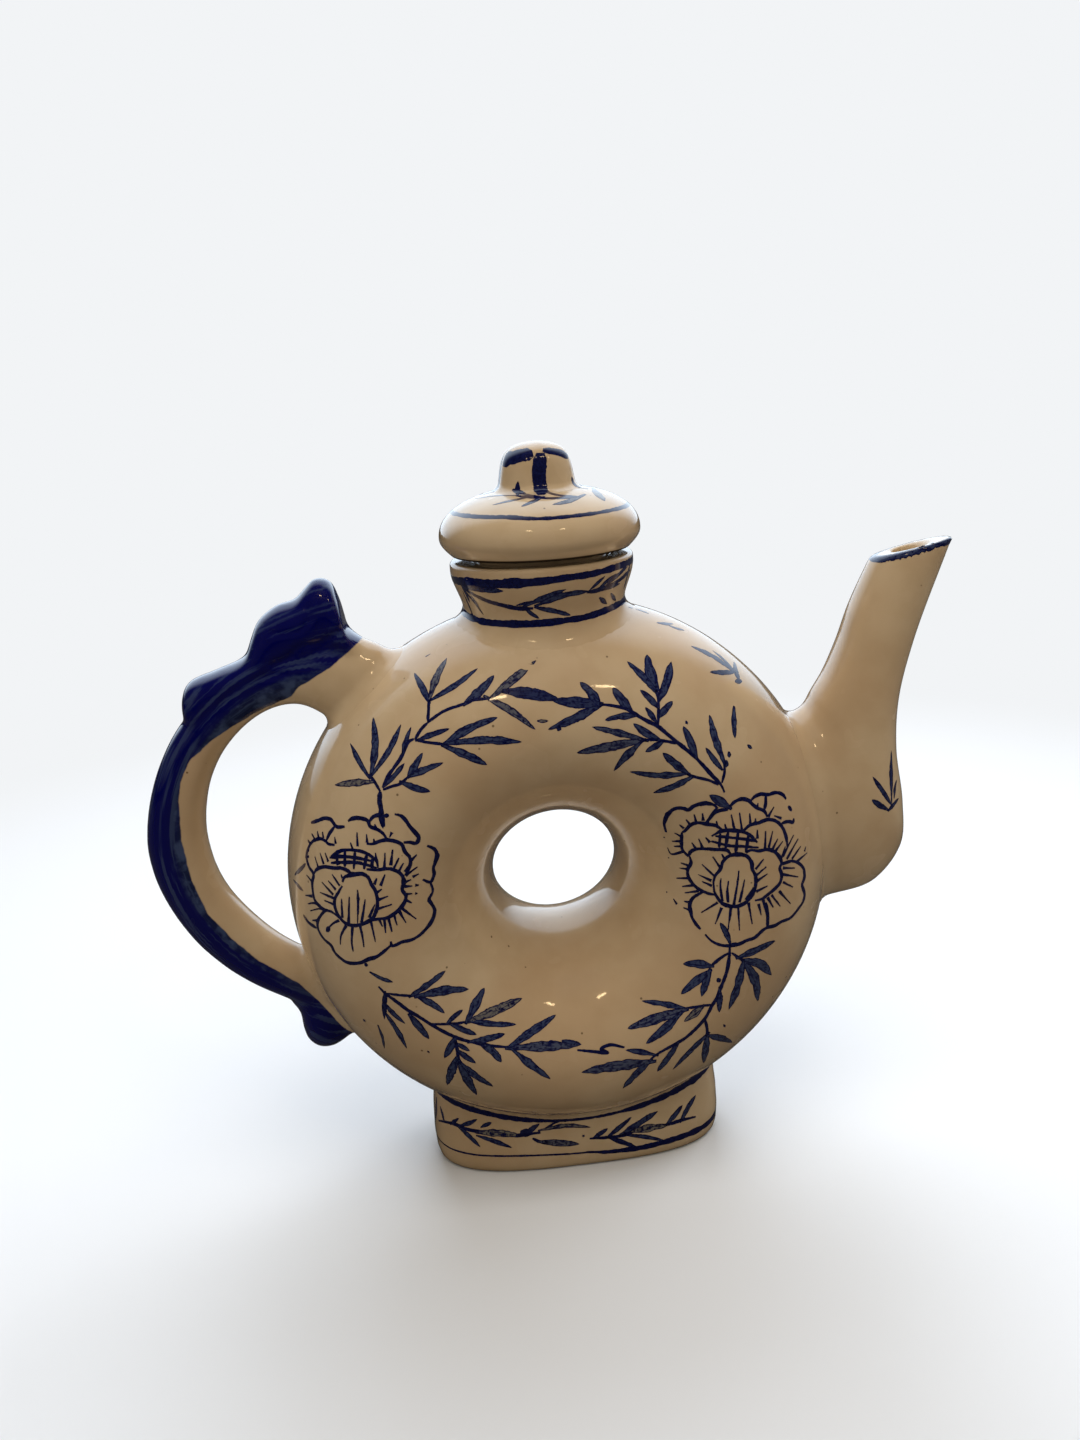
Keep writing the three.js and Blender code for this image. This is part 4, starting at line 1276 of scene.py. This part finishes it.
def form_of(*pieces):
    """One joined copy of the pieces."""
    copies = []
    for piece in pieces:
        twin = piece.copy()
        twin.data = piece.data.copy()
        bpy.context.scene.collection.objects.link(twin)
        copies.append(twin)
    return joined("form", copies)


def pressed(piece, skin, sheet, depth, breadth, points):
    """Presses a groove into both sides of a piece along a line drawn on its front."""
    line = laid(skin, sheet, points)
    for vertex in piece.data.vertices:
        gap = min(math.hypot(vertex.co.x - place.x, vertex.co.z - place.z) for place in line) / MM
        if gap < breadth:
            inward = depth * (math.cos(math.pi * gap / breadth) * 0.5 + 0.5)
            vertex.co.y -= math.copysign(min(inward * MM, abs(vertex.co.y)), vertex.co.y)
    piece.data.update()


def mark_colour_edge(handle):
    """Keeps how far each point is inside the cobalt's edge, and its place along and across the strap."""
    edge = [Vector((x, z)) for x, z in HANDLE_COLOUR_EDGE]
    count = 300
    middles = []
    for index in range(count + 1):
        inner, outer = station_edges(HANDLE_STATIONS, index / count)
        middles.append((inner + outer) / 2)
    line = kdtree.KDTree(count + 1)
    for index, middle in enumerate(middles):
        line.insert(Vector((middle.x, 0, middle.z)), index)
    line.balance()
    centre = Vector((0, 0, RING_CENTRE))
    gaps = []
    streaks = []
    for vertex in handle.data.vertices:
        point = vertex.co / MM
        flat = Vector((point.x, point.z))
        gaps.append(min((gap_to(flat, start, stop) for start, stop in zip(edge, edge[1:])), key=abs))
        middle, index, _ = line.find(Vector((point.x, 0, point.z)))
        out = (Vector((point.x, 0, point.z)) - centre).length - (middle - centre).length
        streaks += [index * 0.4, out, point.y]
    handle.data.attributes.new("colour_edge", "FLOAT", "POINT").data.foreach_set("value", gaps)
    handle.data.attributes.new("streak", "FLOAT_VECTOR", "POINT").data.foreach_set("vector", streaks)


def gap_to(point, start, stop):
    """Distance from a segment, above zero on its left-hand side."""
    run = stop - start
    share = min(max((point - start).dot(run) / run.length_squared, 0), 1)
    gap = point - (start + run * share)
    outside = run.x * gap.y - run.y * gap.x
    return math.copysign(gap.length, -outside)


# Materials
def linear(hex_colour):
    """sRGB hex to the linear colour that the shaders take."""
    channels = [int(hex_colour[index:index + 2], 16) / 255 for index in (1, 3, 5)]
    return [
        value / 12.92 if value <= 0.04045 else ((value + 0.055) / 1.055) ** 2.4
        for value in channels
    ] + [1]


def add_node(material, kind, inputs=(), output=0, **settings):
    """Adds a node and returns one output. Inputs, in order or by name, are values, hex colours or outputs."""
    node = material.node_tree.nodes.new(kind)
    for key, value in settings.items():
        setattr(node, key, value)
    for key, value in inputs.items() if isinstance(inputs, dict) else enumerate(inputs):
        if isinstance(value, bpy.types.NodeSocket):
            material.node_tree.links.new(value, node.inputs[key])
        else:
            node.inputs[key].default_value = linear(value) if isinstance(value, str) else value
    return node.outputs[output] if node.outputs else node


def new_material(name):
    material = bpy.data.materials.new(name)
    material.use_nodes = True
    material.node_tree.nodes.clear()
    return material


def ivory_colour(material):
    """Ivory that drifts slowly between cream and tan, with fine iron specks."""
    place = add_node(material, PLACE, output="Object")
    slow = add_node(material, NOISE, {0: place, "Scale": 1 / (IVORY_DRIFT * MM)})
    small = add_node(material, NOISE, {0: place, "Scale": 1 / (IVORY_CLOUD * MM), "Detail": 3})
    drift = add_node(material, RANGE, [slow, 0.38, 0.64], **SMOOTH)
    cloud = add_node(material, RANGE, [small, 0.35, 0.7, 0, 0.2], **SMOOTH)
    colour = add_node(material, MIX, {0: drift, 6: IVORY_TAN, 7: IVORY_CREAM}, 2, **COLOURS)
    colour = add_node(material, MIX, {0: cloud, 6: colour, 7: IVORY_SHADE}, 2, **COLOURS)
    cells = add_node(
        material, "ShaderNodeTexVoronoi", {0: place, "Scale": 1 / (SPECK_SPACING * MM)}, "Distance")
    chosen = add_node(material, "ShaderNodeSeparateColor", [cells.node.outputs["Color"]])
    near = add_node(material, RANGE, [cells, 0.05, 0.1, 1, 0], **SMOOTH)
    rare = add_node(material, RANGE, [chosen, 0.8, 0.82, 0, 0.75], **SMOOTH)
    speck = add_node(material, MATH, [near, rare], operation="MULTIPLY")
    return add_node(material, MIX, {0: speck, 6: colour, 7: IRON_SPECK}, 2, **COLOURS)


def bare_seat_and_shade(material):
    """How bare the clay is: the lid's underside, where it sits over the neck, was wiped clean of glaze. The
    same mask colours it dark there as painted shade for the shadowed seam.
    """
    place = add_node(material, PLACE, output="Object")
    height = add_node(material, AXES, [place], "Z")
    away = add_node(material, MATH, [height, LID_SEAT * MM, 0], operation="SUBTRACT")
    apart = add_node(material, MATH, [away], operation="ABSOLUTE")
    level = add_node(material, RANGE, [apart, *[edge * MM for edge in SEAT_BAND], 1, 0], **SMOOTH)
    flat = add_node(material, VECTORS, [place, (1, 1, 0)], operation="MULTIPLY")
    reach = add_node(material, VECTORS, [flat], "Value", operation="LENGTH")
    within = add_node(material, RANGE, [reach, *[edge * MM for edge in SEAT_REACH], 1, 0], **SMOOTH)
    return add_node(material, MATH, [level, within], operation="MULTIPLY")


def glazed(material, colour, seat_bare_and_shaded=None):
    """Finishes a material as a clear glossy glaze over the colour, with the slight waves of a dipped coat."""
    place = add_node(material, PLACE, output="Object")
    swell = add_node(material, NOISE, {0: place, "Scale": 1 / (GLAZE_SWELL * MM), "Detail": 1})
    pits = add_node(material, NOISE, {0: place, "Scale": 1 / (GLAZE_PIT * MM)})
    waves = add_node(material, "ShaderNodeBump", {"Strength": 0.5, "Distance": 0.5 * MM, "Height": swell})
    fine = add_node(material, "ShaderNodeBump", {
        "Strength": 0.12, "Distance": 0.12 * MM, "Height": pits, "Normal": waves})
    sheen = add_node(material, NOISE, {0: place, "Scale": 1 / (SHEEN_PATCH * MM)})
    shine = add_node(material, RANGE, [sheen, 0.3, 0.75, 0.16, 0.3], **SMOOTH)
    coat = 1
    # the bare seat, also darkened as painted shade, takes no coat and stays dull
    if seat_bare_and_shaded:
        shine = add_node(material, MATH, [shine, seat_bare_and_shaded], operation="MAXIMUM")
        coat = add_node(material, MATH, [1, seat_bare_and_shaded], operation="SUBTRACT")
    shader = add_node(material, "ShaderNodeBsdfPrincipled", {
        "IOR": 1.5, "Specular IOR Level": 0.15, "Coat Weight": coat, "Coat Roughness": 0.05, "Coat IOR": 1.5,
        "Base Color": colour, "Roughness": shine, "Normal": fine, "Coat Normal": fine})
    add_node(material, "ShaderNodeOutputMaterial", [shader])
    return material


def make_ivory():
    """Ivory stoneware, dipped and fired: warm glassy cream with iron specks, bare under the lid, where
    painted shade darkens the seam.
    """
    material = new_material("ivory_stoneware_glaze")
    seat_bare_and_shaded = bare_seat_and_shade(material)
    # painted shade: the bare seat under the lid is coloured dark for the shadow in the seam
    colour = add_node(material, MIX, {0: seat_bare_and_shaded, 6: ivory_colour(material), 7: SEAT_CLAY_SHADED}, 2, **COLOURS)
    return glazed(material, colour, seat_bare_and_shaded)


def make_brush_cobalt():
    """Cobalt brushed under the glaze: inky where a stroke's border dried, and thin and mottled inside."""
    material = new_material("brushed_cobalt")
    place = add_node(material, PLACE, output="Object")
    brush = add_node(material, KEPT, output="Vector", attribute_name="brush")
    thin = add_node(material, KEPT, output="Fac", attribute_name="thin")
    depth = add_node(material, AXES, [brush], "Z")
    inside = add_node(material, RANGE, [depth, 0.14, 0.36], **SMOOTH)
    hairs = add_node(material, "ShaderNodeMapping", {0: brush, "Scale": (0.45, 1.9, 0)})
    streak = add_node(material, NOISE, {0: hairs, "Scale": 1})
    grain = add_node(material, NOISE, {0: place, "Scale": 1 / (COBALT_GRAIN * MM)})
    drawn = add_node(material, RANGE, [streak, 0.34, 0.56], **SMOOTH)
    dabbed = add_node(material, RANGE, [grain, 0.3, 0.54, 0, 1.7], **SMOOTH)
    patchy = add_node(material, MATH, [drawn, dabbed], operation="MULTIPLY")
    held = add_node(material, MATH, [inside, thin], operation="MULTIPLY")
    washed = add_node(material, MATH, [held, patchy], operation="MULTIPLY", use_clamp=True)
    pooled = add_node(material, RANGE, [grain, 0.35, 0.7], **SMOOTH)
    paleness = add_node(material, RANGE, [thin, 0.5, 0.9], **SMOOTH)
    ink = add_node(material, MIX, {0: pooled, 6: COBALT_INK, 7: COBALT_DEEP}, 2, **COLOURS)
    wash = add_node(material, MIX, {0: paleness, 6: COBALT_WASH, 7: COBALT_FAINT}, 2, **COLOURS)
    return glazed(material, add_node(material, MIX, {0: washed, 6: ink, 7: wash}, 2, **COLOURS))


def make_handle_cobalt():
    """Thick cobalt glaze poured over the handle's spine: nearly black-blue, greyer where it ran thin."""
    material = new_material("poured_cobalt_glaze")
    place = add_node(material, PLACE, output="Object")
    edge = add_node(material, KEPT, output="Fac", attribute_name="colour_edge")
    streak = add_node(material, KEPT, output="Vector", attribute_name="streak")
    across = add_node(material, AXES, [streak], "Y")
    drawn = add_node(material, "ShaderNodeMapping", {0: streak, "Scale": (0.06, 0.75, 0.3)})
    runs = add_node(material, NOISE, {0: drawn, "Scale": 1, "Detail": 3})
    inward = add_node(material, RANGE, [across, -6, 4, 1, 0], **SMOOTH)
    flow = add_node(material, MATH, [inward, runs], operation="ADD")
    grey = add_node(material, RANGE, [flow, 0.65, 1.1], **SMOOTH)
    lines = add_node(material, RANGE, [runs, 0.5, 0.64, 0, 0.6], **SMOOTH)
    puffs = add_node(material, NOISE, {0: place, "Scale": 1 / (COBALT_PUFF * MM), "Detail": 3})
    cloud = add_node(material, RANGE, [puffs, 0.4, 0.64], **SMOOTH)
    thinned = add_node(material, MATH, [grey, cloud], operation="MULTIPLY")
    pale = add_node(material, MATH, [thinned, lines], operation="MAXIMUM")
    colour = add_node(material, MIX, {0: grey, 6: COBALT_SPINE, 7: COBALT_THIN}, 2, **COLOURS)
    colour = add_node(material, MIX, {0: pale, 6: colour, 7: COBALT_CLOUD}, 2, **COLOURS)
    small = add_node(material, NOISE, {0: place, "Scale": 1 / (EDGE_WANDER * MM)})
    wander = add_node(material, MATH, [small, 0.7, -0.35], operation="MULTIPLY_ADD")
    ragged = add_node(material, MATH, [edge, wander], operation="ADD")
    blue = add_node(material, RANGE, [ragged, -0.2, 0.2], **SMOOTH)
    colour = add_node(material, MIX, {0: blue, 6: ivory_colour(material), 7: colour}, 2, **COLOURS)
    return glazed(material, colour)


def dress(piece, material, body, slot, *nodes):
    piece.data.materials.clear()
    piece.data.materials.append(material)
    if nodes:
        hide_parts(*nodes)
    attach(piece, body)


# Light and floor
def make_floor():
    deselect()
    bpy.ops.mesh.primitive_grid_add(
        x_subdivisions=4, y_subdivisions=4, size=FLOOR_SIDE, location=(0, 0, FLOOR_LEVEL),
    )
    floor = bpy.context.object
    floor.name = "floor"
    material = new_material("pale_floor")
    place = add_node(material, PLACE, output="Object")
    distance = add_node(material, VECTORS, [place], "Value", operation="LENGTH")
    fade = add_node(material, RANGE, [distance, *FLOOR_FADE], **SMOOTH)
    camera_ray = add_node(material, "ShaderNodeLightPath", output="Is Camera Ray")
    glossy_ray = camera_ray.node.outputs["Is Glossy Ray"]
    unseen = add_node(material, MIX, {0: glossy_ray, 6: FLOOR_BOUNCE, 7: FLOOR_MIRRORED}, 2, **COLOURS)
    tone = add_node(material, MIX, {0: camera_ray, 6: unseen, 7: FLOOR_PALE}, 2, **COLOURS)
    cloth = add_node(material, "ShaderNodeBsdfDiffuse", [tone])
    white = add_node(material, "ShaderNodeEmission", [BACKDROP_WHITE, 1])
    lift = add_node(material, MATH, [fade, camera_ray], operation="MULTIPLY")
    ground = add_node(material, "ShaderNodeMixShader", [lift, cloth, white])
    add_node(material, "ShaderNodeOutputMaterial", [ground])
    floor.data.materials.append(material)


def make_world():
    world = bpy.data.worlds.new("studio")
    bpy.context.scene.world = world
    world.use_nodes = True
    world.node_tree.nodes.clear()
    camera_ray = add_node(world, "ShaderNodeLightPath", output="Is Camera Ray")
    clear_ray = camera_ray.node.outputs["Is Transmission Ray"]
    glossy_ray = camera_ray.node.outputs["Is Glossy Ray"]
    bright = add_node(world, MATH, [camera_ray, clear_ray], operation="MAXIMUM")
    way = add_node(world, PLACE, output="Generated")
    back = add_node(world, AXES, [way], "Y")
    backdrop = add_node(world, RANGE, [back, -0.4, 0.6, ROOM_SHARE * DIFFUSE_LEVEL, DIFFUSE_LEVEL], **SMOOTH)
    lean = add_node(world, VECTORS, [way, WINDOW_WAY], "Value", operation="DOT_PRODUCT")
    shown = add_node(world, RANGE, [lean, 0.45, 0.8, ROOM_GLOSS, WINDOW_GLOSS], **SMOOTH)
    glossy = add_node(world, MIX, {0: glossy_ray, 2: backdrop, 3: shown})
    strength = add_node(world, MIX, {0: bright, 2: glossy, 3: 1})
    side = add_node(world, RANGE, [back, -0.4, 0.4], **SMOOTH)
    tint = add_node(world, MIX, {0: side, 6: ROOM_WARMTH, 7: WINDOW_BLUE}, 2, **COLOURS)
    colour = add_node(world, MIX, {0: bright, 6: tint, 7: BACKDROP_WHITE}, 2, **COLOURS)
    sky = add_node(world, "ShaderNodeBackground", [colour, strength])
    add_node(world, "ShaderNodeOutputWorld", [sky])


def add_lamp(name, place, aim, size, power, colour):
    data = bpy.data.lights.new(name, "AREA")
    data.shape = "RECTANGLE"
    data.size, data.size_y = size
    data.energy = power
    data.color = linear(colour)[:3]
    lamp = bpy.data.objects.new(name, data)
    lamp.location = place
    lamp.rotation_euler = (Vector(aim) - Vector(place)).to_track_quat("-Z", "Y").to_euler()
    bpy.context.scene.collection.objects.link(lamp)
    return lamp


def make_lights():
    for name, place, power, colour in SOFT_LAMPS:
        soft = add_lamp(name, place, LAMP_AIM, LAMP_SIZE, power, colour)
        soft.visible_glossy = False  # its edges would show in the glaze as a hard pane
    for name, place in FLECK_LAMPS:
        add_lamp(name, place, FLECK_AIM, FLECK_SIZE, FLECK_POWER, FLECK_COLOUR)


make_camera()
ivory = make_ivory()
brush_cobalt = make_brush_cobalt()
handle_cobalt = make_handle_cobalt()

ring, ring_skin = make_ring()
foot = make_foot(ring_skin)
neck = make_neck(ring_skin)
spout = make_spout(ring_skin)
handle = make_handle(ring_skin)
lid_dome = make_lid_cap()
lid_flange = make_lid_flange()
lid_bud = make_lid_knob(skin_of(lid_dome))

dress(ring, ivory, "pot", "ivory_glaze", "ring_front_half", "ring_back_half")
dress(foot, ivory, "pot", "ivory_glaze", "foot_skirt")
dress(neck, ivory, "pot", "ivory_glaze", "neck_collar")
dress(spout, ivory, "pot", "ivory_glaze", "spout")
dress(handle, handle_cobalt, "pot", "cobalt_glaze", "handle_strap", "handle_crest", "handle_scroll")
dress(lid_dome, ivory, "lid", "ivory_glaze", "lid_cap")
dress(lid_flange, ivory, "lid", "ivory_glaze", "lid_flange")
dress(lid_bud, ivory, "lid", "ivory_glaze", "lid_knob")

# The painting on the pot, front first. The back carries the same wreath.
pot_form = form_of(ring, foot, neck, spout)
pot_skin = outer_skin(ring, foot, neck, spout)
wreath = wreath_strokes(pot_skin)
neck_band = spray_strokes(pot_skin, SHEET_LID, STEMS_NECK, LEAVES_NECK)
neck_band += moved(neck_band, turn=180)
neck_band.append(band_stroke(pot_skin, NECK_UPPER_LINE, start=30))
neck_band.append(band_stroke(pot_skin, NECK_LOWER_LINE, start=30))
foot_band = foot_strokes(pot_skin)
foot_band += moved(foot_band, turn=180)
foot_band.append(band_stroke(pot_skin, FOOT_LOW_LINE, start=60))
foot_band.append(joint_stroke(skin_of(foot), ring_skin))
spout_sprig = leaf_strokes(pot_skin, SHEET_SPOUT, LEAVES_SPOUT)
spout_paint = spout_sprig + moved(spout_sprig, flip=-1) + [lip_stroke(pot_skin)]
for name, strokes, columns in (
    ("wreath_front", wreath, 2),
    ("wreath_back", moved(wreath, turn=180), 2),
    ("neck_brushwork", neck_band, 2),
    ("foot_brushwork", foot_band, 4),
    ("spout_brushwork", spout_paint, 8),
):
    dress(brushed(name, strokes, pot_skin, pot_form, columns), brush_cobalt, "pot", "cobalt_glaze")
bpy.data.objects.remove(pot_form)

# The painting on the lid
lid_form = form_of(lid_dome, lid_bud)
lid_skin = skin_of(lid_form)
lid_band = spray_strokes(lid_skin, SHEET_LID, STEMS_LID, LEAVES_LID)
lid_band += moved(lid_band, turn=180)
lid_band.append(band_stroke(lid_skin, LID_LINE, start=40))
dress(brushed("lid_brushwork", lid_band, lid_skin, lid_form), brush_cobalt, "lid", "cobalt_glaze")
knob_stripe = leaf_strokes(lid_skin, SHEET_KNOB, KNOB_NOTCH)
knob_stripe += stem_strokes(lid_skin, SHEET_KNOB, KNOB_STRIPE)
knob_caps = stem_strokes(lid_skin, SHEET_KNOB, KNOB_CAPS)
knob_paint = knob_caps + moved(knob_caps, turn=180)
for turn in (0, 90, 180, 270):
    knob_paint += moved(knob_stripe, turn=turn)
knob_brushwork = brushed("knob_brushwork", knob_paint, lid_skin, lid_form, columns=6)
dress(knob_brushwork, brush_cobalt, "lid", "cobalt_glaze")
bpy.data.objects.remove(lid_form)

make_floor()
make_world()
make_lights()
bpy.context.scene.view_settings.view_transform = "Standard"
